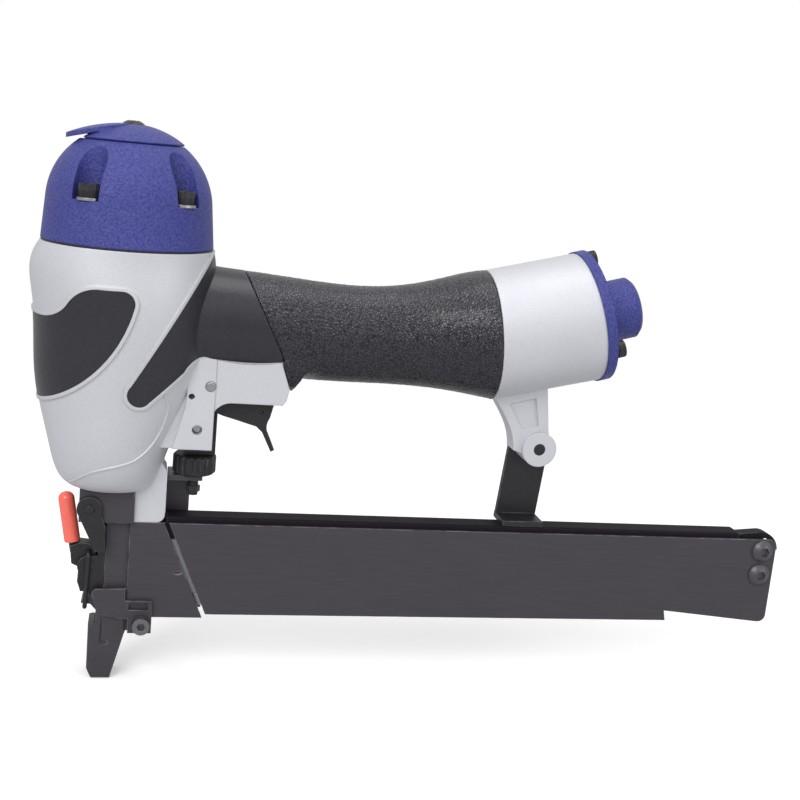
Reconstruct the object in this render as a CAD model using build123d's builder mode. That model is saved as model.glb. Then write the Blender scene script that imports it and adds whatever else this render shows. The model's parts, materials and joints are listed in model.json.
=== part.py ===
"""Pneumatic narrow crown stapler: cast head and handle, latched nose and sliding magazine.

Frame: millimetres, +Z up along the driver, +X back along the magazine, Y across the tool.
Heights are drawn from a datum FOOT_Z below the contact foot. save() writes every piece with
the origin on the driver axis, in the plane of the foot's lower face.
"""
from build123d import *
import math
import os

# Clearances
SLIDE_GAP = 0.2          # between sliding sheet parts, each side
SEAT_GAP = 0.05          # inlays and rings in their recesses
RING_GAP = 0.3           # radial, around the sliding valve ring
RUN_GAP = 0.05           # radial running fit of pins and rods
REACH = 60.0             # half length of cutting prisms
GAP_STEPS = 40           # places where the gap between a coil's turns is measured

# Datum: height of the contact foot's lower face
FOOT_Z = 3.0

# Head casting: height, centre along X, half width along X, half width along Y
HEAD_BOTTOM_Z = 84.0
HEAD_TOP_Z = 181.0
CAP_RADIUS = 32.8
HEAD_FOOT = (HEAD_BOTTOM_Z, -1.7, 15.2, 12.6)
HEAD_CHIN = (89.0, -3.4, 19.8, 18.0)
HEAD_JAW = (98.0, -3.7, 22.7, 22.3)
HEAD_WAIST = (114.0, -2.7, 27.6, 26.0)
HEAD_CHEST = (137.0, -0.6, 33.0, 30.2)
HEAD_BELLY = (158.0, -0.3, 34.6, 33.2)
HEAD_RIM = (HEAD_TOP_Z, 0.0, CAP_RADIUS, CAP_RADIUS)
HEAD_SECTIONS = (HEAD_FOOT, HEAD_CHIN, HEAD_JAW, HEAD_WAIST, HEAD_CHEST, HEAD_BELLY, HEAD_RIM)
RESERVOIR_RADIUS = 23.5
RESERVOIR_FLOOR_Z = 150.0
DRIVER_SLOT = (3.0, 8.0)         # along X and Y, through the floor of the head

# Handle: station x, centre z, tilt, half width, half height
ROOT_STATION = (18.0, 151.5, 0.0, 21.0, 26.0)
NECK_STATION = (46.0, 153.4, 0.0, 18.5, 20.6)
GRIP_STATION = (88.0, 151.3, 0.0, 17.0, 19.9)
PALM_STATION = (112.0, 152.2, 1.5, 17.8, 20.8)
FLARE_STATION = (135.0, 154.2, 4.5, 22.5, 24.6)
END_START = (147.9, 154.4, 6.5, 26.2, 27.0)
END_FACE = (189.5, 164.7, 15.5, 27.2, 27.2)
HANDLE_SECTIONS = (ROOT_STATION, NECK_STATION, GRIP_STATION, PALM_STATION, FLARE_STATION, END_START)
HANDLE_WALL = 3.2
GRIP_THICK = 2.6
COLLAR_TOP = (44.0, 177.0)       # slanted front edge of the grip sleeve
COLLAR_LOW = (67.5, 131.0)
LIP_DROP = 6.0

# Inlays on the head
PAD_DEPTH = 1.6
PAD_PROUD = 0.3
BEAD_WIDTH = 1.5
BEAD_PROUD = 0.7

# Drive unit
BORE_RADIUS = 16.5
SLEEVE_WALL = 1.5
SLEEVE_BOTTOM_Z = 103.0
SLEEVE_TOP_Z = 172.0
PISTON_HEIGHT = 12.0
PISTON_TOP_Z = 170.0
STROKE = 54.6
BUMPER_RADIUS = 13.5
BUMPER_FLOOR_Z = 93.0
BUMPER_HEIGHT = 10.0
BLADE_THICK = 1.3
BLADE_WIDTH = 5.8
HEAD_VALVE_HEIGHT = 9.0
HEAD_SPRING_HEIGHT = 9.0
HEAD_SPRING_RADIUS = 20.0
HEAD_SPRING_WIRE = 2.0
RING_SEAL = 2.4

# Cap
CAP_SEAM = 0.8
CAP_SIDE_Z = 198.4
CAP_DRAFT = 1.4
CAP_TOP_Z = 219.6
CAP_CROWN_RADIUS = 19.6
CAP_WALL = 4.0
BOLT_CIRCLE = 27.5
BOLT_ANGLES = (-120.0, -45.0, 45.0, 120.0)
BOLT_SEAT_Z = 198.0
BOLT_POCKET = 5.6
M5 = 5.0
M5_HEAD = 8.5
M5_HEAD_HEIGHT = 5.0
M5_HEX = 4.0
BUTTON_HEAD = 10.0
BUTTON_HEIGHT = 3.0
BUTTON_RIM = 0.6
SOCKET_DEPTH = 0.6       # share of a screw head's height
WASHER_THICK = 1.0
WASHER_RADIUS = 5.0
BOLT_REACH = 28.0
DEFLECTOR_RISE = 7.0
DEFLECTOR_BEVEL = 0.6
DEFLECTOR_SHELL = 3.0
DEFLECTOR_HOLLOW = 1.6
VISOR_REACH = 24.7
VISOR_HALF = 11.0
VISOR_DROP = 5.6
VISOR_THICK = 1.8
MOUTH_HALF = 8.0
EXHAUST_CIRCLE = 9.0
EXHAUST_COUNT = 6
EXHAUST_RADIUS = 2.6
SCREW_SINK = 1.6

# End cap and air inlet
FLANGE_THICK = 4.2
FLANGE_OVER = 0.6
BOSS_RADIUS = 12.9
BOSS_LENGTH = 17.5
BOSS_CHAMFER = 1.6
INLET_RADIUS = 5.7       # tapping bore of a quarter inch pipe thread
SPIGOT_LENGTH = 9.0
CHAMBER_RADIUS = 19.8
CHAMBER_STEP = 2.0
END_SCREW_CIRCLE = 23.5
END_SCREW_COUNT = 3
M4 = 4.0
M4_HEAD = 7.0
M4_HEAD_HEIGHT = 4.0
M4_HEX = 3.0

# Trigger bracket
EAR_OUT = 15.5
EAR_IN = 10.5
FLANGE_STEP = 0.6
WEB_STEP = 1.4           # from the ears' faces down to the webs that join them to the head
EAR_TOP_Z = 141.0
EAR_BOTTOM_Z = 103.6
EAR_REAR_X = 36.2
BRACKET_REAR_X = 65.2
BRACKET_BOTTOM_Z = 123.0
TRIGGER_PIN = (34.3, 129.4)
TRIGGER_PIN_RADIUS = 2.0
TRIGGER_EYE = 3.4
EAR_HOLE = (30.0, 111.6)
EAR_HOLE_RADIUS = 2.0
PIN_SUNK = 3.6           # how deep the spring pin sits in its hole
SPRING_HOLE = (27.2, 125.0)
SPRING_HOLE_RADIUS = 1.2
TRIGGER_HALF = 9.6
TRIGGER_WALL = 2.2
VALVE_X = 49.4
VALVE_RADIUS = 7.0
VALVE_BOTTOM_Z = 126.5
VALVE_TOP_Z = 148.0
STEM_RADIUS = 2.0
STEM_BOTTOM_Z = 123.6
LINK_PIN = (55.0, 119.0)
LINK_PIN_RADIUS = 1.2
LINK_THICK = 1.6
LINK_HALF = 4.0

# Contact safety
STUD_X = 30.4
STUD_RADIUS = 2.0
STUD_BOTTOM_Z = 81.0
KNOB_RADIUS = 8.7
KNOB_BOTTOM_Z = 90.4
KNOB_HEIGHT = 8.0
KNOB_FLUTES = 18
FLUTE_RADIUS = 0.8
STUD_NUT_Z = 82.4
STUD_NUT_HEIGHT = 2.4
STUD_NUT_RADIUS = 2.9
ARM_SHEET = 1.6
TAB_TOP_Z = 90.0
TAB_THICK = 2.0
TAB_FRONT_X = 20.0
TAB_REAR_X = STUD_X + 3.4
UPPER_SHEET = 1.5
UPPER_TOP_Z = 118.5
UPPER_FACE_X = 36.8
UPPER_HALF = 4.0

# Nose
NOSE_HALF = 5.2
CHANNEL_HALF = 3.1
SPINE_REAR_X = 6.0
NOSE_TIP_Z = FOOT_Z + 5.4
HEAD_PLATE_Z = 70.3
HEAD_PLATE_HALF = 8.5
HEAD_PLATE_FRONT_X = -14.0
HEAD_PLATE_REAR_X = 7.3
FRONT_WALL_Z = 38.6
DOOR_BOTTOM_Z = 39.4
DOOR_TOP_Z = 68.4
DOOR_FRONT_X = -6.0
DOOR_REAR_X = -3.3
HINGE = (-9.8, 76.2)
HINGE_RADIUS = 1.75
HINGE_EAR = 5.0
EAR_SHEET = 1.6
LATCH_PIVOT = (-9.6, 50.5)
LATCH_PIN_RADIUS = 1.5
LEVER_HALF = 3.2
BAIL_WIRE = 1.8
BAIL_ARM = 6.0           # from the lever pivot up to the bail's pivot
BAIL_HALF = 6.2
BAIL_BAR = (-10.4, 33.0)
TIP_RADIUS = 3.2
TIP_TOP = (-19.9, 80.2)
TIP_LOW = (-16.2, 58.2)
CHEEK_OUT = 8.2
CHEEK_IN = 6.8
LUG_SCREW = (12.4, 27.4)
LUG_REAR_X = 16.5
LUG_BOTTOM_Z = 23.2
FOOT_SHEET = 1.2
FOOT_FRONT_X = -8.8
FOOT_SLIT = (-3.5, 18.4)  # lower end of the slit in the foot's near side
SLIT_WIDTH = 0.7
SLIT_DEPTH = 0.6
LEG_FRONT_X = HEAD_PLATE_REAR_X + SEAT_GAP
LEG_REAR_X = 19.6
LEG_HALF = 6.4

# Magazine
MAG_HALF = 6.5
MAG_SHEET = 1.2
MAG_TOP_Z = 70.2
COVER_BOTTOM_Z = 31.1
PLATE_BOTTOM_Z = 29.6
COVER_REAR_X = 292.0
SLANT_TOP_X = 21.6
SLANT_LOW_X = 38.2
SLANT_GAP = 2.0
DIMPLE = (26.0, 49.0)    # pressed mark on the near side plate
RAIL_TOP_Z = 72.6
RAIL_SHEET = 1.2
RAIL_REAR_X = 273.6
RAIL_LOW_Z = 40.0
CORE_HALF = 2.2
CORE_TOP_Z = 58.0
CORE_FRONT_X = 6.3
PUSHER_LENGTH = 24.0
PUSHER_FRONT_X = SPINE_REAR_X + 0.6
PUSHER_HALF = 3.2
ROD_RADIUS = 1.3
ROD_Z = 65.5
PUSHER_COIL_RADIUS = 2.4
PUSHER_WIRE = 0.7
TAIL_FRONT_X = 275.0
TAIL_SCREW_X = 285.4
TAIL_SCREW_Z = (64.8, 53.8)
CATCH_HALF = 3.0
PULL_NOTCH_X = 243.0
PULL_RISE = 4.6

# Support
BOSS_CENTRE = (174.4, 107.6)
SUPPORT_RADIUS = 7.5
SUPPORT_HALF = 7.0
SUPPORT_PANEL_DEPTH = 1.0
STRAP_SHEET = 2.4
STRAP_LOW_X = 171.5
STRAP_WIDTH = 18.0

os.makedirs("parts", exist_ok=True)

BOLT_PLACES = [(BOLT_CIRCLE * math.cos(math.radians(angle)), BOLT_CIRCLE * math.sin(math.radians(angle)))
               for angle in BOLT_ANGLES]


def save(builder, name):
    """Label a finished piece and write it as its own file."""
    piece = builder.part.moved(Location((0, 0, -FOOT_Z)))
    piece.label = name
    export_step(piece, "parts/" + name + ".step")


def station_plane(station):
    """Plane across the handle at a station, with its local Y up the section."""
    x, z, tilt, half_width, half_height = station
    lean = math.radians(tilt)
    return Plane(origin=(x, 0, z), x_dir=(0, 1, 0), z_dir=(math.cos(lean), 0, math.sin(lean)))


def head_form(grow):
    """Outer form of the head, grown by a radial amount."""
    with BuildPart() as form:
        for height, centre_x, half_x, half_y in HEAD_SECTIONS:
            with BuildSketch(Plane.XY.offset(height)):
                with Locations((centre_x, 0)):
                    Ellipse(half_x + grow, half_y + grow)
        loft()
    return form.part


def handle_form(shrink):
    """Outer form of the grip part of the handle, made smaller by a radial amount."""
    with BuildPart() as form:
        for station in HANDLE_SECTIONS:
            with BuildSketch(station_plane(station)):
                Ellipse(station[3] - shrink, station[4] - shrink)
        loft()
    return form.part


def end_form(shrink):
    """Silver rear end of the handle, made smaller by a radial amount."""
    with BuildPart() as form:
        for station in (END_START, END_FACE):
            with BuildSketch(station_plane(station)):
                Ellipse(station[3] - shrink, station[4] - shrink)
        loft()
    return form.part


def front_prism(grow):
    """Prism across the tool with the outline of the front inlay."""
    with BuildPart() as prism:
        with BuildSketch(Plane.XZ):
            with BuildLine():
                brow = Line((-46, 153.8), (-31, 153.8))
                dip = TangentArc(brow @ 1, (-20, 160.2), tangent=brow % 1)
                rise = TangentArc(dip @ 1, (-9, 166.6), tangent=dip % 1)
                ridge = Line(rise @ 1, (-0.5, 166.6))
                corner = TangentArc(ridge @ 1, (4.0, 160.4), tangent=(1, 0))
                cheek = ThreePointArc(corner @ 1, (-8.6, 136.2), (-31, 121))
                chin = Line(cheek @ 1, (-46, 117.5))
                Line(chin @ 1, brow @ 0)
            make_face()
            if grow > 0:
                offset(amount=grow)
        extrude(amount=REACH, both=True)
    return prism.part


def rear_prism(grow):
    """Prism across the tool with the outline of the rear inlay, up to the grip sleeve."""
    with BuildPart() as prism:
        with BuildSketch(Plane.XZ):
            with BuildLine():
                rim = Line((36.5, 186), (4.2, 130.5))
                toe = ThreePointArc(rim @ 1, (3.6, 124.4), (9.6, 122.6))
                heel = Line(toe @ 1, (23.5, 135.4))
                instep = ThreePointArc(heel @ 1, (26.5, 139.2), (31, 141.2))
                arch = ThreePointArc(instep @ 1, (46, 139.4), (62.6, 140.6))
                edge = Line(arch @ 1, COLLAR_TOP)
                top = Line(edge @ 1, (43, 186))
                Line(top @ 1, rim @ 0)
            make_face()
            if grow > 0:
                offset(amount=grow)
        extrude(amount=REACH, both=True)
    return prism.part


def grip_prism(grow):
    """Prism across the tool between the slanted collar and the silver end."""
    lean = math.radians(END_START[2])
    up = (-math.sin(lean) * REACH, math.cos(lean) * REACH)
    rear_top = (END_START[0] + up[0] + grow, END_START[1] + up[1])
    rear_low = (END_START[0] - up[0] + grow, END_START[1] - up[1])
    slope = (COLLAR_LOW[0] - COLLAR_TOP[0]) / (COLLAR_LOW[1] - COLLAR_TOP[1])
    front_top = (COLLAR_TOP[0] + slope * (rear_top[1] - COLLAR_TOP[1]) - grow, rear_top[1])
    front_low = (COLLAR_TOP[0] + slope * (rear_low[1] - COLLAR_TOP[1]) - grow, rear_low[1])
    with BuildPart() as prism:
        with BuildSketch(Plane.XZ):
            with BuildLine():
                Polyline(front_top, rear_top, rear_low, front_low, close=True)
            make_face()
        extrude(amount=REACH, both=True)
    return prism.part


HEAD = head_form(0)
HEAD_SUNK = head_form(-PAD_DEPTH)
HEAD_PROUD = head_form(PAD_PROUD)
HANDLE = handle_form(0)
HANDLE_CORE = handle_form(GRIP_THICK)
HANDLE_NECK = handle_form(PAD_DEPTH)
END_PLANE = station_plane(END_FACE)

# Rubber inlay around the front of the head
with BuildPart() as front_pad:
    add(HEAD_PROUD)
    add(head_form(-PAD_DEPTH + SEAT_GAP), mode=Mode.SUBTRACT)
    add(front_prism(0), mode=Mode.INTERSECT)
save(front_pad, "front_pad")

# Rubber inlay from the side of the head back to the grip sleeve, over the neck
with BuildPart() as rear_pad:
    add(HEAD_PROUD)
    add(HANDLE)
    add(head_form(-PAD_DEPTH + SEAT_GAP), mode=Mode.SUBTRACT)
    add(handle_form(PAD_DEPTH - SEAT_GAP), mode=Mode.SUBTRACT)
    add(rear_prism(0), mode=Mode.INTERSECT)
save(rear_pad, "rear_pad")

# Grained rubber sleeve around the handle, with a lip that hangs behind the trigger bracket
with BuildPart() as bare_neck:
    add(handle_form(-SEAT_GAP))
    add(grip_prism(-SEAT_GAP), mode=Mode.SUBTRACT)
with BuildPart() as collar_lip:
    add(handle_form(-LIP_DROP))
    add(handle_form(GRIP_THICK - SEAT_GAP), mode=Mode.SUBTRACT)
    add(bare_neck.part, mode=Mode.SUBTRACT)
    with BuildSketch(Plane.XZ):
        with BuildLine():
            Polyline((64, 137), (65.6, 129.8), (66.3, 127.4), (67.1, 127.2), (69.4, 132), (71.5, 137),
                     close=True)
        make_face()
    extrude(amount=REACH, both=True, mode=Mode.INTERSECT)
with BuildPart() as grip_sleeve:
    add(HANDLE)
    add(handle_form(GRIP_THICK - SEAT_GAP), mode=Mode.SUBTRACT)
    add(grip_prism(-SEAT_GAP), mode=Mode.INTERSECT)
    add(collar_lip.part)
    add(HEAD_PROUD, mode=Mode.SUBTRACT)
    with BuildSketch(Plane.XY.offset(BRACKET_BOTTOM_Z)):
        with Locations((BRACKET_REAR_X / 2, 0)):
            Rectangle(BRACKET_REAR_X + SLIDE_GAP, 2 * EAR_OUT + SLIDE_GAP)
    extrude(amount=EAR_TOP_Z - BRACKET_BOTTOM_Z, mode=Mode.SUBTRACT)
save(grip_sleeve, "grip_sleeve")


def side_ring(prism, grow):
    """Raised bead on the head just outside an inlay's outline."""
    with BuildPart() as ring:
        add(head_form(BEAD_PROUD))
        add(HEAD_SUNK, mode=Mode.SUBTRACT)
        add(prism(grow), mode=Mode.INTERSECT)
        add(prism(SEAT_GAP), mode=Mode.SUBTRACT)
    return ring.part


# Cutters for the recesses under the inlays and the sleeve
with BuildPart() as front_recess:
    add(front_prism(SEAT_GAP))
    add(HEAD_SUNK, mode=Mode.SUBTRACT)
with BuildPart() as rear_recess:
    add(rear_prism(SEAT_GAP))
    add(HEAD_SUNK, mode=Mode.SUBTRACT)
    add(HANDLE_NECK, mode=Mode.SUBTRACT)
with BuildPart() as grip_recess:
    add(grip_prism(0))
    add(HEAD_SUNK, mode=Mode.SUBTRACT)
    add(HANDLE_CORE, mode=Mode.SUBTRACT)

# Casting: head, handle, trigger bracket, nose leg and support arm in one piece
with BuildPart() as housing:
    add(HEAD)
    add(HANDLE)
    add(end_form(0))
    add(front_recess.part, mode=Mode.SUBTRACT)
    add(rear_recess.part, mode=Mode.SUBTRACT)
    add(grip_recess.part, mode=Mode.SUBTRACT)
    add(side_ring(front_prism, BEAD_WIDTH))
    add(side_ring(rear_prism, BEAD_WIDTH))
    # Two ears and two flanges that carry the trigger
    for side in (-1, 1):
        with BuildSketch(Plane.XZ.offset(side * EAR_IN)):
            with BuildLine():
                lead = Polyline((25, 120.6), (20.7, EAR_BOTTOM_Z), (EAR_REAR_X, EAR_BOTTOM_Z),
                                (EAR_REAR_X, EAR_TOP_Z - 0.8), (31.2, EAR_TOP_Z - 0.4))
                crown = ThreePointArc(lead @ 1, (27.2, 138.4), (25.9, 134))
                Line(crown @ 1, lead @ 0)
            make_face()
        extrude(amount=side * (EAR_OUT - EAR_IN))
        with BuildSketch(Plane.XZ.offset(side * EAR_IN)):
            with BuildLine():
                Polyline((12, EAR_BOTTOM_Z), (24, EAR_BOTTOM_Z), (26, 124), (20, 128), (12, 118), close=True)
            make_face()
        extrude(amount=side * (EAR_OUT - EAR_IN - WEB_STEP))
        with BuildSketch(Plane.XZ.offset(side * EAR_IN)):
            with BuildLine():
                saddle = ThreePointArc((EAR_REAR_X - 1, EAR_TOP_Z - 0.8), (46, 138.8), (61.6, 140))
                rear = Polyline(saddle @ 1, (BRACKET_REAR_X, 129.5), (BRACKET_REAR_X - 0.8, 125),
                                (BRACKET_REAR_X - 2.2, BRACKET_BOTTOM_Z), (42.5, BRACKET_BOTTOM_Z))
                throat = ThreePointArc(rear @ 1, (38.2, 121.4), (EAR_REAR_X - 1, 116))
                Line(throat @ 1, saddle @ 0)
            make_face()
        extrude(amount=side * (EAR_OUT - EAR_IN - FLANGE_STEP))
    # Leg down to the magazine
    with BuildSketch(Plane.XZ) as leg_sketch:
        with BuildLine():
            Polyline((LEG_FRONT_X, MAG_TOP_Z + SEAT_GAP), (LEG_REAR_X, MAG_TOP_Z + SEAT_GAP),
                     (LEG_REAR_X, 92), (12, 104), (LEG_FRONT_X, 100), close=True)
        make_face()
        fillet(leg_sketch.vertices().group_by(Axis.Y)[0].sort_by(Axis.X)[-1], radius=3.5)
    extrude(amount=LEG_HALF, both=True)
    # Support arm with its boss and the sunk panels on its sides
    with BuildSketch(Plane.XZ):
        with BuildLine():
            back = Spline((151.6, 131), (156.0, 124.4), (161, 116), (163.4, 106.5))
            Polyline(back @ 1, (171, 104), (178.6, 112), (175.2, 136), (158, 140), back @ 0)
        make_face()
    extrude(amount=SUPPORT_HALF - 2, both=True)
    with BuildSketch(Plane.XZ):
        with Locations(BOSS_CENTRE):
            Circle(SUPPORT_RADIUS)
    extrude(amount=SUPPORT_HALF, both=True)
    for side in (-1, 1):
        with BuildSketch(Plane.XZ.offset(side * (SUPPORT_HALF - 2))):
            with BuildLine():
                Polyline((159.6, 126.4), (171, 129.4), (173.4, 117.4), (166.4, 115.6), close=True)
            make_face()
        extrude(amount=-side * SUPPORT_PANEL_DEPTH, mode=Mode.SUBTRACT)
    # Air chamber through the handle, with a machined seat at its rear end
    add(handle_form(GRIP_THICK + HANDLE_WALL), mode=Mode.SUBTRACT)
    add(end_form(END_FACE[3] - CHAMBER_RADIUS + CHAMBER_STEP), mode=Mode.SUBTRACT)
    with BuildSketch(END_PLANE):
        Circle(CHAMBER_RADIUS)
    extrude(amount=-SPIGOT_LENGTH - 1, mode=Mode.SUBTRACT)
    # Bores of the drive unit, from the top rim down
    with BuildSketch(Plane.XY.offset(HEAD_TOP_Z)):
        Circle(RESERVOIR_RADIUS)
    extrude(amount=RESERVOIR_FLOOR_Z - HEAD_TOP_Z, mode=Mode.SUBTRACT)
    with BuildSketch(Plane.XY.offset(HEAD_TOP_Z)):
        Circle(BORE_RADIUS + SLEEVE_WALL + RUN_GAP)
    extrude(amount=SLEEVE_BOTTOM_Z - HEAD_TOP_Z, mode=Mode.SUBTRACT)
    with BuildSketch(Plane.XY.offset(SLEEVE_BOTTOM_Z)):
        Circle(BUMPER_RADIUS + SEAT_GAP)
    extrude(amount=BUMPER_FLOOR_Z - SLEEVE_BOTTOM_Z, mode=Mode.SUBTRACT)
    with BuildSketch(Plane.XY.offset(HEAD_BOTTOM_Z)):
        Rectangle(DRIVER_SLOT[0], DRIVER_SLOT[1])
    extrude(amount=BUMPER_FLOOR_Z - HEAD_BOTTOM_Z, mode=Mode.SUBTRACT)
    # Tapped holes for the cap bolts, the end cap screws and the strap screw
    with BuildSketch(Plane.XY.offset(HEAD_TOP_Z)):
        with Locations(BOLT_PLACES):
            Circle(M5 / 2 + RUN_GAP)
    extrude(amount=-BOLT_REACH / 2, mode=Mode.SUBTRACT)
    with BuildSketch(END_PLANE):
        with PolarLocations(END_SCREW_CIRCLE, END_SCREW_COUNT, start_angle=90):
            Circle(M4 / 2 + RUN_GAP)
    extrude(amount=-M4_HEAD * 2, mode=Mode.SUBTRACT)
    with BuildSketch(Plane.XZ):
        with Locations(BOSS_CENTRE):
            Circle(M5 / 2 + RUN_GAP)
    extrude(amount=REACH, both=True, mode=Mode.SUBTRACT)
    # Cross holes in the ears
    with BuildSketch(Plane.XZ):
        with Locations(TRIGGER_PIN):
            Circle(TRIGGER_PIN_RADIUS + RUN_GAP)
        with Locations(EAR_HOLE):
            Circle(EAR_HOLE_RADIUS)
        with Locations(SPRING_HOLE):
            Circle(SPRING_HOLE_RADIUS)
    extrude(amount=EAR_OUT + 1, both=True, mode=Mode.SUBTRACT)
    # Room for the trigger's pivot under the neck
    with BuildSketch(Plane.XZ):
        with Locations((TRIGGER_PIN[0], TRIGGER_PIN[1] - TRIGGER_EYE)):
            Rectangle(2 * TRIGGER_EYE + 1.2, 4 * TRIGGER_EYE + 1.2)
    extrude(amount=EAR_IN, both=True, mode=Mode.SUBTRACT)
    # Seat of the trigger valve, up through the underside of the neck
    with BuildSketch(Plane.XY.offset(BRACKET_BOTTOM_Z)):
        with Locations((VALVE_X, 0)):
            Circle(VALVE_RADIUS + SEAT_GAP)
    extrude(amount=VALVE_TOP_Z - BRACKET_BOTTOM_Z, mode=Mode.SUBTRACT)
save(housing, "housing")


def socket_screw(plane, head_radius, head_height, hex_size, shank_radius, shank_length):
    """Socket head screw: its head stands out of the plane and its shank runs back into it."""
    with BuildPart() as screw:
        with BuildSketch(plane):
            Circle(head_radius)
        extrude(amount=head_height)
        with BuildSketch(plane):
            Circle(shank_radius)
        extrude(amount=-shank_length)
        with BuildSketch(plane.offset(head_height)):
            RegularPolygon(radius=hex_size / 2, side_count=6, major_radius=False)
        extrude(amount=-head_height * SOCKET_DEPTH, mode=Mode.SUBTRACT)
    return screw.part


def button_screw(plane, shank_radius, shank_length):
    """Button head screw: a low dome with a hexagon socket out of the plane, its shank behind."""
    with BuildPart() as screw:
        with BuildSketch(Plane(origin=plane.origin, x_dir=plane.x_dir, z_dir=-plane.y_dir)):
            with BuildLine():
                seat = Line((0, 0), (BUTTON_HEAD / 2, 0))
                rim = Line(seat @ 1, (BUTTON_HEAD / 2, BUTTON_RIM))
                dome = TangentArc((0, BUTTON_HEIGHT), rim @ 1, tangent=(1, 0))
                Line(dome @ 0, seat @ 0)
            make_face()
        revolve(axis=Axis(plane.origin, plane.z_dir))
        with BuildSketch(plane):
            Circle(shank_radius)
        extrude(amount=-shank_length)
        with BuildSketch(plane.offset(BUTTON_HEIGHT)):
            RegularPolygon(radius=M5_HEX / 2, side_count=6, major_radius=False)
        extrude(amount=-BUTTON_HEIGHT * SOCKET_DEPTH, mode=Mode.SUBTRACT)
    return screw.part


def ring_seal(plane, radius, wire):
    """Ring seal of square section around the plane's axis."""
    with BuildPart() as seal:
        with BuildSketch(plane.offset(-wire / 2)):
            Circle(radius + wire / 2)
            Circle(radius - wire / 2, mode=Mode.SUBTRACT)
        extrude(amount=wire)
    return seal.part


# Cylinder cap: domed shell with four bolt pockets
CAP_BOTTOM_Z = HEAD_TOP_Z + CAP_SEAM
HEAD_VALVE_Z = SLEEVE_TOP_Z + 0.3
VALVE_ROOM_TOP_Z = HEAD_VALVE_Z + HEAD_VALVE_HEIGHT + HEAD_SPRING_HEIGHT
with BuildPart() as cylinder_cap:
    with BuildSketch(Plane.XZ):
        with BuildLine():
            foot = Line((0, CAP_BOTTOM_Z), (CAP_RADIUS, CAP_BOTTOM_Z))
            wall = Line(foot @ 1, (CAP_RADIUS - CAP_DRAFT, CAP_SIDE_Z))
            dome = TangentArc(wall @ 1, (CAP_CROWN_RADIUS, CAP_TOP_Z), tangent=wall % 1)
            crown = Line(dome @ 1, (0, CAP_TOP_Z))
            Line(crown @ 1, foot @ 0)
        make_face()
    revolve(axis=Axis.Z)
    with BuildSketch(Plane.XY.offset(CAP_BOTTOM_Z)):
        Circle(RESERVOIR_RADIUS)
    extrude(amount=VALVE_ROOM_TOP_Z - CAP_BOTTOM_Z, mode=Mode.SUBTRACT)
    with BuildSketch(Plane.XY.offset(VALVE_ROOM_TOP_Z)):
        Circle(BORE_RADIUS)
    extrude(amount=CAP_TOP_Z - CAP_WALL - VALVE_ROOM_TOP_Z, mode=Mode.SUBTRACT)
    with BuildSketch(Plane.XY.offset(CAP_TOP_Z)):
        with PolarLocations(EXHAUST_CIRCLE, EXHAUST_COUNT):
            Circle(EXHAUST_RADIUS)
        Circle(M5 / 2 + RUN_GAP)
    extrude(amount=-CAP_WALL * 2, mode=Mode.SUBTRACT)
    with BuildSketch(Plane.XY.offset(BOLT_SEAT_Z)):
        for angle in BOLT_ANGLES:
            with PolarLocations(BOLT_CIRCLE, 1, start_angle=angle):
                Circle(BOLT_POCKET)
                with Locations((BOLT_POCKET, 0)):
                    Rectangle(2 * BOLT_POCKET, 2 * BOLT_POCKET)
    extrude(amount=CAP_TOP_Z - BOLT_SEAT_Z, mode=Mode.SUBTRACT)
    with BuildSketch(Plane.XY.offset(BOLT_SEAT_Z)):
        with Locations(BOLT_PLACES):
            Circle(M5 / 2 + RUN_GAP)
    extrude(amount=CAP_BOTTOM_Z - BOLT_SEAT_Z, mode=Mode.SUBTRACT)
save(cylinder_cap, "cylinder_cap")

# Gasket between cap and head
with BuildPart() as cap_gasket:
    with BuildSketch(Plane.XY.offset(HEAD_TOP_Z)):
        Circle(CAP_RADIUS - 0.3)
        Circle(RESERVOIR_RADIUS, mode=Mode.SUBTRACT)
        with Locations(BOLT_PLACES):
            Circle(M5 / 2 + RUN_GAP, mode=Mode.SUBTRACT)
    extrude(amount=CAP_SEAM)
save(cap_gasket, "cap_gasket")

# Cap bolts and their washers
bolt_plane = Plane.XY.offset(BOLT_SEAT_Z + WASHER_THICK)
bolt_shank = BOLT_SEAT_Z + WASHER_THICK - HEAD_TOP_Z + BOLT_REACH / 2 - 1
cap_bolt = socket_screw(bolt_plane, M5_HEAD / 2, M5_HEAD_HEIGHT, M5_HEX, M5 / 2, bolt_shank)
with BuildPart() as cap_bolts:
    with Locations(BOLT_PLACES):
        add(cap_bolt)
save(cap_bolts, "cap_bolts")
with BuildPart() as cap_washers:
    with BuildSketch(Plane.XY.offset(BOLT_SEAT_Z)):
        with Locations(BOLT_PLACES):
            Circle(WASHER_RADIUS)
            Circle(M5 / 2 + RUN_GAP, mode=Mode.SUBTRACT)
    extrude(amount=WASHER_THICK)
save(cap_washers, "cap_washers")

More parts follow.
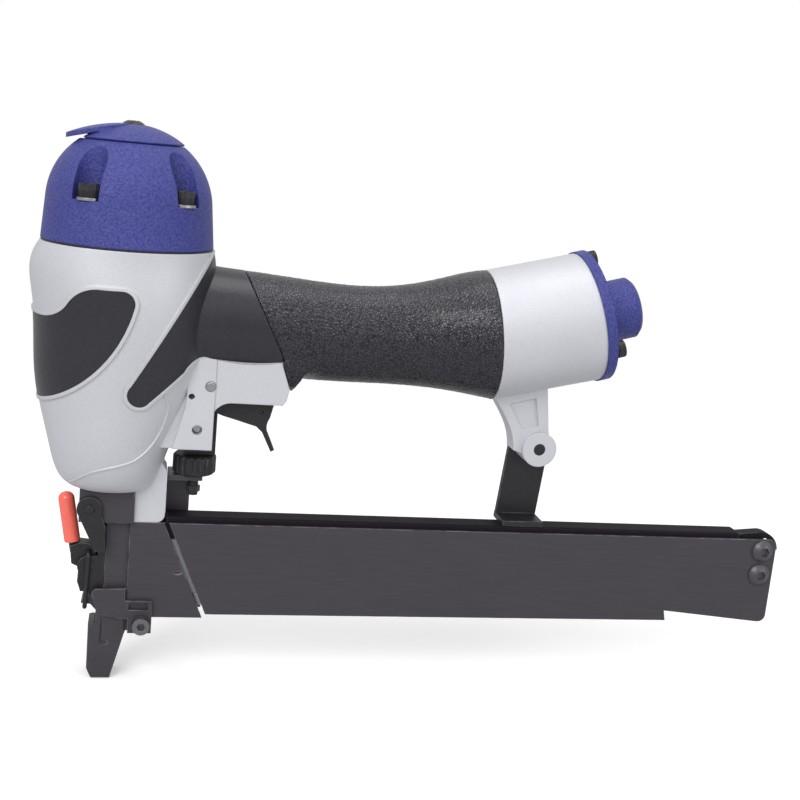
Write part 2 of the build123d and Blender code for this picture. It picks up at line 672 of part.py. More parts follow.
# Exhaust deflector: dome that turns on its centre screw, with a visor over the outlet at the front
DEFLECTOR_BOTTOM_Z = CAP_TOP_Z + SLIDE_GAP
DEFLECTOR_TOP_Z = DEFLECTOR_BOTTOM_Z + DEFLECTOR_RISE
with BuildPart() as visor:
    with BuildSketch(Plane.XZ):
        with BuildLine():
            roof = TangentArc((0, DEFLECTOR_TOP_Z), (VISOR_REACH, DEFLECTOR_TOP_Z - VISOR_DROP),
                              tangent=(1, 0))
            rim = Line(roof @ 1, (VISOR_REACH, DEFLECTOR_TOP_Z - VISOR_DROP - VISOR_THICK))
            soffit = TangentArc((0, DEFLECTOR_TOP_Z - VISOR_THICK), rim @ 1, tangent=(1, 0))
            Line(soffit @ 0, roof @ 0)
        make_face()
    revolve(axis=Axis.Z)
    with BuildSketch(Plane.XY.offset(DEFLECTOR_BOTTOM_Z - VISOR_THICK)):
        with Locations((-VISOR_REACH / 2, 0)):
            Ellipse(VISOR_REACH / 2, VISOR_HALF)
    extrude(amount=DEFLECTOR_RISE + VISOR_THICK, mode=Mode.INTERSECT)
with BuildPart() as exhaust_deflector:
    with BuildSketch(Plane.XZ):
        with BuildLine():
            base = Line((0, DEFLECTOR_BOTTOM_Z), (CAP_CROWN_RADIUS - DEFLECTOR_BEVEL, DEFLECTOR_BOTTOM_Z))
            bevel = Line(base @ 1, (CAP_CROWN_RADIUS, DEFLECTOR_BOTTOM_Z + DEFLECTOR_BEVEL))
            shade = TangentArc((0, DEFLECTOR_TOP_Z), bevel @ 1, tangent=(1, 0))
            Line(shade @ 0, base @ 0)
        make_face()
    revolve(axis=Axis.Z)
    add(visor.part)
    with BuildSketch(Plane.XY.offset(DEFLECTOR_BOTTOM_Z)):
        Circle(CAP_CROWN_RADIUS - DEFLECTOR_SHELL)
        with Locations((-CAP_CROWN_RADIUS / 2, 0)):
            Rectangle(CAP_CROWN_RADIUS, 2 * MOUTH_HALF)
        Circle(BUTTON_HEAD / 2, mode=Mode.SUBTRACT)
    extrude(amount=DEFLECTOR_HOLLOW, mode=Mode.SUBTRACT)
    with BuildSketch(Plane.XY.offset(DEFLECTOR_BOTTOM_Z)):
        Circle(M5 / 2 + 2 * RUN_GAP)
    extrude(amount=DEFLECTOR_RISE, mode=Mode.SUBTRACT)
    with BuildSketch(Plane.XY.offset(DEFLECTOR_TOP_Z - SCREW_SINK)):
        Circle(BUTTON_HEAD / 2 + SLIDE_GAP)
    extrude(amount=SCREW_SINK, mode=Mode.SUBTRACT)
save(exhaust_deflector, "exhaust_deflector")
with BuildPart() as deflector_screw:
    add(button_screw(Plane.XY.offset(DEFLECTOR_TOP_Z - SCREW_SINK + SEAT_GAP), M5 / 2,
                     DEFLECTOR_RISE + CAP_WALL / 2))
save(deflector_screw, "deflector_screw")

# Cylinder sleeve
with BuildPart() as cylinder_sleeve:
    with BuildSketch(Plane.XY.offset(SLEEVE_BOTTOM_Z)):
        Circle(BORE_RADIUS + SLEEVE_WALL)
        Circle(BORE_RADIUS, mode=Mode.SUBTRACT)
    extrude(amount=SLEEVE_TOP_Z - SLEEVE_BOTTOM_Z)
save(cylinder_sleeve, "cylinder_sleeve")

# Piston with its seal, and the driver blade
PISTON_BOTTOM_Z = PISTON_TOP_Z - PISTON_HEIGHT
BLADE_TIP_Z = NOSE_TIP_Z + STROKE
PISTON_SEAL_Z = PISTON_TOP_Z - PISTON_HEIGHT / 2
with BuildPart() as piston:
    with BuildSketch(Plane.XY.offset(PISTON_BOTTOM_Z)):
        Circle(BORE_RADIUS - RUN_GAP)
    extrude(amount=PISTON_HEIGHT)
    with BuildSketch(Plane.XY.offset(PISTON_SEAL_Z - RING_SEAL / 2)):
        Circle(BORE_RADIUS)
        Circle(BORE_RADIUS - RING_SEAL - SEAT_GAP, mode=Mode.SUBTRACT)
    extrude(amount=RING_SEAL, mode=Mode.SUBTRACT)
    with BuildSketch(Plane.XY.offset(PISTON_BOTTOM_Z)):
        Rectangle(BLADE_THICK + 2 * SEAT_GAP, BLADE_WIDTH + 2 * SEAT_GAP)
    extrude(amount=PISTON_HEIGHT / 2, mode=Mode.SUBTRACT)
    with BuildSketch(Plane.XY.offset(PISTON_TOP_Z)):
        Circle(BORE_RADIUS * 0.6)
    extrude(amount=-2, taper=20, mode=Mode.SUBTRACT)
save(piston, "piston")
with BuildPart() as piston_seal:
    add(ring_seal(Plane.XY.offset(PISTON_SEAL_Z), BORE_RADIUS - RING_SEAL / 2 - 2 * SEAT_GAP,
                  RING_SEAL - 2 * SEAT_GAP))
save(piston_seal, "piston_seal")
with BuildPart() as driver_blade:
    with BuildSketch(Plane.XY.offset(BLADE_TIP_Z)):
        Rectangle(BLADE_THICK, BLADE_WIDTH)
    extrude(amount=PISTON_BOTTOM_Z + PISTON_HEIGHT / 2 - SEAT_GAP - BLADE_TIP_Z)
save(driver_blade, "driver_blade")

# Rubber bumper under the piston
with BuildPart() as bumper:
    with BuildSketch(Plane.XY.offset(BUMPER_FLOOR_Z)):
        Circle(BUMPER_RADIUS)
        Rectangle(DRIVER_SLOT[0], DRIVER_SLOT[1], mode=Mode.SUBTRACT)
    extrude(amount=BUMPER_HEIGHT)
    chamfer(bumper.edges().filter_by(GeomType.CIRCLE).sort_by(Axis.Z)[-1], length=1.5)
save(bumper, "bumper")

# Firing valve ring above the sleeve, with its spring
with BuildPart() as head_valve:
    with BuildSketch(Plane.XY.offset(HEAD_VALVE_Z)):
        Circle(RESERVOIR_RADIUS - RING_GAP)
        Circle(BORE_RADIUS - 4, mode=Mode.SUBTRACT)
    extrude(amount=HEAD_VALVE_HEIGHT)
save(head_valve, "head_valve")
with BuildPart() as head_valve_spring:
    with BuildSketch(Plane.XY.offset(HEAD_VALVE_Z + HEAD_VALVE_HEIGHT)):
        Circle(HEAD_SPRING_RADIUS + HEAD_SPRING_WIRE / 2)
        Circle(HEAD_SPRING_RADIUS - HEAD_SPRING_WIRE / 2, mode=Mode.SUBTRACT)
    extrude(amount=HEAD_SPRING_HEIGHT)
save(head_valve_spring, "head_valve_spring")

# End cap with the threaded air inlet
SPIGOT_RADIUS = CHAMBER_RADIUS - SEAT_GAP
SPIGOT_BORE = 14.0
SCREEN_HOLE = 1.8
END_SEAL_Z = -SPIGOT_LENGTH / 2
with BuildPart() as end_cap:
    with BuildSketch(END_PLANE):
        Circle(END_FACE[3] + FLANGE_OVER)
    extrude(amount=FLANGE_THICK)
    with BuildSketch(END_PLANE):
        Circle(BOSS_RADIUS)
    extrude(amount=FLANGE_THICK + BOSS_LENGTH)
    chamfer(end_cap.faces().sort_by(Axis.X)[-1].edges(), length=BOSS_CHAMFER)
    with BuildSketch(END_PLANE):
        Circle(SPIGOT_RADIUS)
    extrude(amount=-SPIGOT_LENGTH)
    with BuildSketch(END_PLANE):
        Circle(SPIGOT_BORE)
    extrude(amount=-SPIGOT_LENGTH, mode=Mode.SUBTRACT)
    with BuildSketch(END_PLANE.offset(END_SEAL_Z - RING_SEAL / 2)):
        Circle(SPIGOT_RADIUS + 1)
        Circle(SPIGOT_RADIUS - RING_SEAL, mode=Mode.SUBTRACT)
    extrude(amount=RING_SEAL, mode=Mode.SUBTRACT)
    with BuildSketch(END_PLANE.offset(FLANGE_THICK + BOSS_LENGTH)):
        Circle(INLET_RADIUS)
    extrude(amount=-FLANGE_THICK - BOSS_LENGTH, mode=Mode.SUBTRACT)
    with BuildSketch(END_PLANE):
        with PolarLocations(END_SCREW_CIRCLE, END_SCREW_COUNT, start_angle=90):
            Circle(M4 / 2 + RUN_GAP)
    extrude(amount=FLANGE_THICK, mode=Mode.SUBTRACT)
save(end_cap, "end_cap")
with BuildPart() as end_cap_seal:
    add(ring_seal(END_PLANE.offset(END_SEAL_Z), SPIGOT_RADIUS - RING_SEAL / 2 + SEAT_GAP,
                  RING_SEAL - 4 * SEAT_GAP))
save(end_cap_seal, "end_cap_seal")
end_screw = socket_screw(Plane.XY.offset(FLANGE_THICK), M4_HEAD / 2, M4_HEAD_HEIGHT, M4_HEX, M4 / 2,
                         M4_HEAD * 2)
with BuildPart() as end_cap_screws:
    with Locations(END_PLANE):
        with PolarLocations(END_SCREW_CIRCLE, END_SCREW_COUNT, start_angle=90):
            add(end_screw)
save(end_cap_screws, "end_cap_screws")
with BuildPart() as inlet_screen:
    with BuildSketch(END_PLANE.offset(-1)):
        Circle(SPIGOT_BORE - SEAT_GAP)
        with PolarLocations(SPIGOT_BORE * 0.62, 10):
            Circle(SCREEN_HOLE, mode=Mode.SUBTRACT)
        with PolarLocations(SPIGOT_BORE * 0.3, 5):
            Circle(SCREEN_HOLE, mode=Mode.SUBTRACT)
    extrude(amount=1)
save(inlet_screen, "inlet_screen")

# Trigger: folded channel with two side walls, a finger web and a curled tail
WEB_START_X = 40.0
with BuildPart() as trigger:
    with BuildSketch(Plane.XZ):
        with BuildLine():
            face = Polyline((37.2, 117.7), (WEB_START_X, 116.6), (45.8, 115), (53.5, 112.8), (56, 110.6),
                            (60, 102.6), (61.5, 103.4), (58, 111.2))
            hollow = ThreePointArc(face @ 1, (57.8, 113.4), (58.8, 116.4))
            back = Polyline(hollow @ 1, (60, 121.5), (59.4, 126.8), (41, 126.8), (37.5, 131))
            eye = ThreePointArc(back @ 1, (33.4, 132.7), (30.95, 128.8))
            Line(eye @ 1, face @ 0)
        make_face()
    extrude(amount=TRIGGER_HALF, both=True)
    with BuildSketch(Plane.XZ):
        with BuildLine():
            Polyline((28, 113), (WEB_START_X, 113), (WEB_START_X, 118.2), (45.8, 116.6), (53.4, 114.5),
                     (56.6, 114.8), (57.6, 117), (57.6, 136), (28, 136), close=True)
        make_face()
    extrude(amount=TRIGGER_HALF - TRIGGER_WALL, both=True, mode=Mode.SUBTRACT)
    with BuildSketch(Plane.XZ):
        with Locations(TRIGGER_PIN):
            Circle(TRIGGER_PIN_RADIUS + RUN_GAP)
        with Locations(LINK_PIN):
            Circle(LINK_PIN_RADIUS + RUN_GAP)
    extrude(amount=TRIGGER_HALF + 1, both=True, mode=Mode.SUBTRACT)
save(trigger, "trigger")


def cross_pin(centre, radius, half_length):
    """Pin across the tool at a point of the side view."""
    with BuildPart() as pin:
        with BuildSketch(Plane.XZ):
            with Locations(centre):
                Circle(radius)
        extrude(amount=half_length, both=True)
        chamfer(pin.edges().filter_by(GeomType.CIRCLE), length=radius * 0.2)
    return pin.part


def coil(base, radius, wire, turns, pitch):
    """Coil spring of quarter turn biarcs, wound up the base plane's axis."""
    rise = Vector(base.z_dir) * (pitch / 4)
    climb = pitch / (2 * math.pi * radius)

    def place(quarter):
        turn = quarter * math.pi / 2
        spoke = base.x_dir * math.cos(turn) + base.y_dir * math.sin(turn)
        ahead = base.y_dir * math.cos(turn) - base.x_dir * math.sin(turn) + base.z_dir * climb
        return base.origin + spoke * radius + rise * quarter, ahead.normalized()

    stations = [place(quarter) for quarter in range(int(turns * 4) + 1)]
    with BuildPart() as spring:
        with BuildLine() as path:
            for (start, heading), (stop, leaving) in zip(stations, stations[1:]):
                chord = stop - start
                both = heading + leaving
                spread = 2 * (1 - heading.dot(leaving))
                along = chord.dot(both)
                reach = (math.sqrt(along * along + spread * chord.dot(chord)) - along) / spread
                first = start + heading * reach
                second = stop - leaving * reach
                middle = (first + second) * 0.5
                TangentArc(start, middle, tangent=heading)
                TangentArc(middle, stop, tangent=second - first)
        with BuildSketch(Plane(origin=stations[0][0], z_dir=stations[0][1])):
            Circle(wire / 2)
        sweep(path=path.wires()[0])
    wound = path.wires()[0]
    shares = [step / GAP_STEPS for step in range(int(GAP_STEPS * (1 - 1 / turns)))]
    least = min((wound.position_at(share) - wound.position_at(share + 1 / turns)).length for share in shares)
    print("coil gap", round(least - wire, 2))
    return spring.part


# Trigger pin, safety link inside the trigger and its pin, trigger spring
with BuildPart() as trigger_pin:
    add(cross_pin(TRIGGER_PIN, TRIGGER_PIN_RADIUS, EAR_OUT + 0.6))
save(trigger_pin, "trigger_pin")
LINK_FRONT_X = UPPER_FACE_X - 0.6
with BuildPart() as trigger_link:
    with BuildSketch(Plane.XZ):
        with BuildLine():
            Polyline((LINK_FRONT_X, LINK_PIN[1]), (LINK_PIN[0] + 2, LINK_PIN[1] - 0.9),
                     (LINK_PIN[0] + 1, LINK_PIN[1] + 2.2), (LINK_PIN[0] - 3, LINK_PIN[1] + LINK_THICK),
                     (LINK_FRONT_X, LINK_PIN[1] + LINK_THICK), close=True)
        make_face()
    extrude(amount=LINK_HALF, both=True)
    with BuildSketch(Plane.XZ):
        with Locations(LINK_PIN):
            Circle(LINK_PIN_RADIUS + RUN_GAP)
    extrude(amount=LINK_HALF, both=True, mode=Mode.SUBTRACT)
save(trigger_link, "trigger_link")
with BuildPart() as link_pin:
    add(cross_pin(LINK_PIN, LINK_PIN_RADIUS, TRIGGER_HALF - 0.2))
save(link_pin, "link_pin")
TRIGGER_COIL_WIRE = 0.9
TRIGGER_COIL_PITCH = 1.5
TRIGGER_COIL_TURNS = 4
TRIGGER_COIL_RADIUS = TRIGGER_PIN_RADIUS + TRIGGER_COIL_WIRE / 2 + 0.3
with BuildPart() as trigger_spring:
    add(coil(Plane(origin=(TRIGGER_PIN[0], TRIGGER_COIL_TURNS * TRIGGER_COIL_PITCH / 2, TRIGGER_PIN[1]),
                   x_dir=(1, 0, 0), z_dir=(0, -1, 0)),
             TRIGGER_COIL_RADIUS, TRIGGER_COIL_WIRE, TRIGGER_COIL_TURNS, TRIGGER_COIL_PITCH))
save(trigger_spring, "trigger_spring")

# Trigger valve: body with two seals, stem and spring
VALVE_SEAL_Z = (VALVE_BOTTOM_Z + 8, VALVE_BOTTOM_Z + 16)
VALVE_FLOOR_Z = VALVE_BOTTOM_Z + 10
VALVE_ROOF_Z = VALVE_TOP_Z - 2
VALVE_GROOVE = 1.6
VALVE_SPRING_RADIUS = 3.6
with BuildPart() as valve_body:
    with BuildSketch(Plane.XY.offset(VALVE_BOTTOM_Z)):
        with Locations((VALVE_X, 0)):
            Circle(VALVE_RADIUS)
            Circle(STEM_RADIUS + RUN_GAP, mode=Mode.SUBTRACT)
    extrude(amount=VALVE_TOP_Z - VALVE_BOTTOM_Z)
    with BuildSketch(Plane.XY.offset(VALVE_FLOOR_Z)):
        with Locations((VALVE_X, 0)):
            Circle(VALVE_SPRING_RADIUS + 1)
    extrude(amount=VALVE_ROOF_Z - VALVE_FLOOR_Z, mode=Mode.SUBTRACT)
    for height in VALVE_SEAL_Z:
        with BuildSketch(Plane.XY.offset(height - VALVE_GROOVE / 2)):
            with Locations((VALVE_X, 0)):
                Circle(VALVE_RADIUS + 1)
                Circle(VALVE_RADIUS - VALVE_GROOVE, mode=Mode.SUBTRACT)
        extrude(amount=VALVE_GROOVE, mode=Mode.SUBTRACT)
save(valve_body, "valve_body")
with BuildPart() as valve_seals:
    for height in VALVE_SEAL_Z:
        add(ring_seal(Plane((VALVE_X, 0, height)), VALVE_RADIUS - VALVE_GROOVE / 2 + SEAT_GAP,
                      VALVE_GROOVE - 4 * SEAT_GAP))
save(valve_seals, "valve_seals")
STEM_COLLAR_Z = VALVE_FLOOR_Z + SEAT_GAP
STEM_COLLAR = 1.4
with BuildPart() as valve_stem:
    with BuildSketch(Plane.XY.offset(STEM_BOTTOM_Z)):
        with Locations((VALVE_X, 0)):
            Circle(STEM_RADIUS)
    extrude(amount=VALVE_TOP_Z - STEM_BOTTOM_Z)
    with BuildSketch(Plane.XY.offset(STEM_COLLAR_Z)):
        with Locations((VALVE_X, 0)):
            Circle(VALVE_SPRING_RADIUS + 0.6)
    extrude(amount=STEM_COLLAR)
    fillet(valve_stem.edges().filter_by(GeomType.CIRCLE).sort_by(Axis.Z)[0], radius=STEM_RADIUS * 0.6)
save(valve_stem, "valve_stem")
with BuildPart() as valve_spring:
    with BuildSketch(Plane.XY.offset(STEM_COLLAR_Z + STEM_COLLAR)):
        with Locations((VALVE_X, 0)):
            Circle(VALVE_SPRING_RADIUS)
            Circle(STEM_RADIUS + 0.6, mode=Mode.SUBTRACT)
    extrude(amount=VALVE_ROOF_Z - STEM_COLLAR_Z - STEM_COLLAR)
save(valve_spring, "valve_spring")

# Contact foot: shoe around the nose tip, arm up the far side and tab under the knob
FOOT_HALF = NOSE_HALF + SLIDE_GAP + FOOT_SHEET
ARM_FACE = MAG_HALF + SLIDE_GAP
with BuildPart() as contact_foot:
    with BuildSketch(Plane.XZ):
        with BuildLine():
            Polyline((FOOT_FRONT_X, FOOT_Z + 3.8), (FOOT_FRONT_X + 2, FOOT_Z), (0.7, FOOT_Z), (5.4, 21),
                     (5.4, 29), (-5.4, 31), (-6.2, 26), (FOOT_FRONT_X, 26), close=True)
        make_face()
    extrude(amount=FOOT_HALF, both=True)
    with BuildSketch(Plane.XY):
        with Locations((DOOR_FRONT_X - SLIDE_GAP, 0)):
            Rectangle(40, 2 * (NOSE_HALF + SLIDE_GAP), align=(Align.MIN, Align.CENTER))
    extrude(amount=40, mode=Mode.SUBTRACT)
    fillet(contact_foot.edges().filter_by(Axis.Z).group_by(Axis.X)[0], radius=1.6)
    with BuildSketch(Plane.XZ.offset(FOOT_HALF)):
        with Locations(FOOT_SLIT):
            Rectangle(SLIT_WIDTH, REACH, align=(Align.CENTER, Align.MIN))
            Rectangle(4 * SLIT_WIDTH, 2 * SLIT_WIDTH, align=(Align.MIN, Align.CENTER))
    extrude(amount=-SLIT_DEPTH, mode=Mode.SUBTRACT)
    with BuildSketch(Plane.XZ.offset(-ARM_FACE)):
        with BuildLine():
            Polyline((-4, 13), (4.6, 13), (8.4, 26), (16, 42), (29.4, 64), (29.4, TAB_TOP_Z),
                     (TAB_FRONT_X, TAB_TOP_Z), (TAB_FRONT_X, 70), (4, 44), (-4, 28), close=True)
        make_face()
    extrude(amount=-ARM_SHEET)
    with BuildSketch(Plane.XZ.offset(-FOOT_HALF + FOOT_SHEET)):
        with BuildLine():
            Polyline((-3, 15), (4.4, 15), (5, 17), (5, 26), (-3, 26), close=True)
        make_face()
    extrude(amount=-(ARM_FACE - FOOT_HALF + FOOT_SHEET))
    with BuildSketch(Plane.XY.offset(TAB_TOP_Z)):
        with Locations((TAB_FRONT_X, ARM_FACE + ARM_SHEET)):
            Rectangle(TAB_REAR_X - TAB_FRONT_X, ARM_FACE + ARM_SHEET + 5, align=(Align.MIN, Align.MAX))
        with Locations((STUD_X, 0)):
            Circle(STUD_RADIUS + RUN_GAP, mode=Mode.SUBTRACT)
    extrude(amount=-TAB_THICK)
save(contact_foot, "contact_foot")

# Depth adjusting knob on its stud, with the end nut
KNOB_TOP_Z = KNOB_BOTTOM_Z + KNOB_HEIGHT
with BuildPart() as safety_stud:
    with BuildSketch(Plane.XY.offset(STUD_BOTTOM_Z)):
        with Locations((STUD_X, 0)):
            Circle(STUD_RADIUS)
    extrude(amount=KNOB_TOP_Z - STUD_BOTTOM_Z)
save(safety_stud, "safety_stud")
with BuildPart() as stud_nut:
    with BuildSketch(Plane.XY.offset(STUD_NUT_Z)):
        with Locations((STUD_X, 0)):
            RegularPolygon(radius=STUD_NUT_RADIUS, side_count=6)
            Circle(STUD_RADIUS + RUN_GAP, mode=Mode.SUBTRACT)
    extrude(amount=STUD_NUT_HEIGHT)
save(stud_nut, "stud_nut")
with BuildPart() as depth_knob:
    with BuildSketch(Plane.XY.offset(KNOB_BOTTOM_Z)):
        with Locations((STUD_X, 0)):
            Circle(KNOB_RADIUS)
    extrude(amount=KNOB_HEIGHT)
    chamfer(depth_knob.edges().filter_by(GeomType.CIRCLE), length=0.9)
    with BuildSketch(Plane.XY.offset(KNOB_BOTTOM_Z)):
        with Locations((STUD_X, 0)):
            with PolarLocations(KNOB_RADIUS + 0.3, KNOB_FLUTES):
                Circle(FLUTE_RADIUS)
            Circle(STUD_RADIUS + RUN_GAP)
    extrude(amount=KNOB_HEIGHT, mode=Mode.SUBTRACT)
save(depth_knob, "depth_knob")

# Upper safety: flat strip behind the ears that reaches up to the trigger link
UPPER_BOTTOM_Z = KNOB_TOP_Z + 0.3
with BuildPart() as upper_safety:
    with BuildSketch(Plane.XZ):
        with BuildLine():
            Polyline((STUD_X - 4.6, UPPER_BOTTOM_Z), (UPPER_FACE_X + UPPER_SHEET, UPPER_BOTTOM_Z),
                     (UPPER_FACE_X + UPPER_SHEET, UPPER_TOP_Z), (UPPER_FACE_X, UPPER_TOP_Z),
                     (UPPER_FACE_X, UPPER_BOTTOM_Z + UPPER_SHEET),
                     (STUD_X - 4.6, UPPER_BOTTOM_Z + UPPER_SHEET), close=True)
        make_face()
    extrude(amount=UPPER_HALF, both=True)
save(upper_safety, "upper_safety")
with BuildPart() as spring_pin:
    add(cross_pin(EAR_HOLE, EAR_HOLE_RADIUS - RUN_GAP, EAR_OUT - PIN_SUNK))
save(spring_pin, "spring_pin")
SAFETY_WIRE = 0.9
SAFETY_TURNS = 4
SAFETY_COIL_RADIUS = 3.2
safety_low = UPPER_BOTTOM_Z + UPPER_SHEET + SAFETY_WIRE / 2 + SEAT_GAP
safety_high = EAR_HOLE[1] - EAR_HOLE_RADIUS - SAFETY_WIRE / 2 - SEAT_GAP
with BuildPart() as safety_spring:
    add(coil(Plane((STUD_X, 0, safety_low)), SAFETY_COIL_RADIUS, SAFETY_WIRE, SAFETY_TURNS,
             (safety_high - safety_low) / SAFETY_TURNS))
save(safety_spring, "safety_spring")


def side_block(outline, low_y, high_y):
    """Plate across the tool between two Y values, cut to an outline in the side view."""
    with BuildPart() as block:
        with BuildSketch(Plane.XZ.offset(-low_y)):
            with BuildLine():
                Polyline(*outline, close=True)
            make_face()
        extrude(amount=-(high_y - low_y))
    return block.part


# Nose body: head plate, drive guide with its feed window, cheek and lug
CHANNEL_HALF_X = BLADE_THICK / 2 + SLIDE_GAP
WINDOW_Z = (33.0, 62.5)
PLATE_FRONT_X = SPINE_REAR_X + SEAT_GAP
with BuildPart() as nose_body:
    add(side_block(((HEAD_PLATE_FRONT_X, HEAD_PLATE_Z), (HEAD_PLATE_REAR_X, HEAD_PLATE_Z),
                    (HEAD_PLATE_REAR_X, HEAD_BOTTOM_Z), (HEAD_PLATE_FRONT_X, HEAD_BOTTOM_Z)),
                   -HEAD_PLATE_HALF, HEAD_PLATE_HALF))
    add(side_block(((DOOR_FRONT_X, NOSE_TIP_Z), (0.9, NOSE_TIP_Z), (SPINE_REAR_X - 1, 20),
                    (SPINE_REAR_X, 23), (SPINE_REAR_X, HEAD_PLATE_Z + 1),
                    (DOOR_REAR_X + 0.1, HEAD_PLATE_Z + 1),
                    (DOOR_REAR_X + 0.1, FRONT_WALL_Z), (DOOR_FRONT_X, FRONT_WALL_Z)), -NOSE_HALF, NOSE_HALF))
    # Catch for the wire bail on the front wall
    add(side_block(((DOOR_FRONT_X, 31.6), (-8.2, BAIL_BAR[1] + 1.2), (-12, BAIL_BAR[1] + 1.6),
                    (-11.4, BAIL_BAR[1] + 3.6), (DOOR_FRONT_X, FRONT_WALL_Z)),
                   -NOSE_HALF + 0.7, NOSE_HALF - 0.7))
    # Lug under the magazine and the cheek beside it
    add(side_block(((SPINE_REAR_X - 1, LUG_BOTTOM_Z), (LUG_REAR_X, LUG_BOTTOM_Z),
                    (LUG_REAR_X, PLATE_BOTTOM_Z - SLIDE_GAP),
                    (SPINE_REAR_X - 1, PLATE_BOTTOM_Z - SLIDE_GAP)),
                   -NOSE_HALF, NOSE_HALF))
    add(side_block(((SPINE_REAR_X + 1, LUG_BOTTOM_Z), (LUG_REAR_X, LUG_BOTTOM_Z),
                    (LUG_REAR_X, PLATE_BOTTOM_Z - SLIDE_GAP),
                    (SPINE_REAR_X + 1, PLATE_BOTTOM_Z - SLIDE_GAP)),
                   -CHEEK_OUT, MAG_HALF))
    add(side_block(((-5.6, 31.3), (4.4, 29.3), (LUG_REAR_X, 29.3), (LUG_REAR_X, 37.2), (5.6, 37.2),
                    (5.6, 42.4), (-6.4, 42.0), (-7.8, 40.4), (-6.2, 34.7)), -CHEEK_OUT, -CHEEK_IN))
    add(side_block(((7, 33.2), (15, 33.2), (15, 36.2), (7, 36.2)), -CHEEK_OUT - 1, -CHEEK_IN + 0.1),
        mode=Mode.SUBTRACT)
    # Drive channel, closed by the door above the front wall
    with BuildSketch(Plane.XY):
        Rectangle(2 * CHANNEL_HALF_X, 2 * CHANNEL_HALF)
    extrude(amount=HEAD_BOTTOM_Z, mode=Mode.SUBTRACT)
    add(side_block(((DOOR_FRONT_X - 1, FRONT_WALL_Z), (0, FRONT_WALL_Z), (0, HEAD_PLATE_Z),
                    (DOOR_FRONT_X - 1, HEAD_PLATE_Z)),
                   -CHANNEL_HALF, CHANNEL_HALF), mode=Mode.SUBTRACT)
    add(side_block(((0, WINDOW_Z[0]), (SPINE_REAR_X + 1, WINDOW_Z[0]), (SPINE_REAR_X + 1, WINDOW_Z[1]),
                    (0, WINDOW_Z[1])),
                   -PUSHER_HALF - SLIDE_GAP, PUSHER_HALF + SLIDE_GAP), mode=Mode.SUBTRACT)
    with BuildSketch(Plane.XZ):
        with Locations(HINGE):
            Circle(HINGE_RADIUS + RUN_GAP)
        with Locations(LUG_SCREW):
            Circle(M4 / 2 + RUN_GAP)
    extrude(amount=REACH, both=True, mode=Mode.SUBTRACT)
save(nose_body, "nose_body")
with BuildPart() as lug_screw:
    add(socket_screw(Plane(origin=(LUG_SCREW[0], -CHEEK_OUT, LUG_SCREW[1]),
                           x_dir=(1, 0, 0), z_dir=(0, -1, 0)),
                     M4_HEAD / 2, M4_HEAD_HEIGHT, M4_HEX, M4 / 2, CHEEK_OUT + MAG_HALF))
save(lug_screw, "lug_screw")


def slant_x(height):
    """X of the cover's slanted front edge at a height."""
    share = (MAG_TOP_Z - height) / (MAG_TOP_Z - COVER_BOTTOM_Z)
    return SLANT_TOP_X + share * (SLANT_LOW_X - SLANT_TOP_X)


# Fixed side plates between the nose and the sliding cover
plate_outline = ((PLATE_FRONT_X, PLATE_BOTTOM_Z), (slant_x(PLATE_BOTTOM_Z) - SLANT_GAP, PLATE_BOTTOM_Z),
                 (slant_x(MAG_TOP_Z) - SLANT_GAP, MAG_TOP_Z), (PLATE_FRONT_X, MAG_TOP_Z))
with BuildPart() as side_plates:
    add(side_block(plate_outline, -MAG_HALF, -MAG_HALF + MAG_SHEET))
    add(side_block(plate_outline, MAG_HALF - MAG_SHEET, MAG_HALF))
    with BuildSketch(Plane.XZ.offset(MAG_HALF)):
        with Locations(DIMPLE):
            Ellipse(MAG_SHEET * 1.4, MAG_SHEET * 0.6)
    extrude(amount=-MAG_SHEET / 3, mode=Mode.SUBTRACT)
save(side_plates, "side_plates")

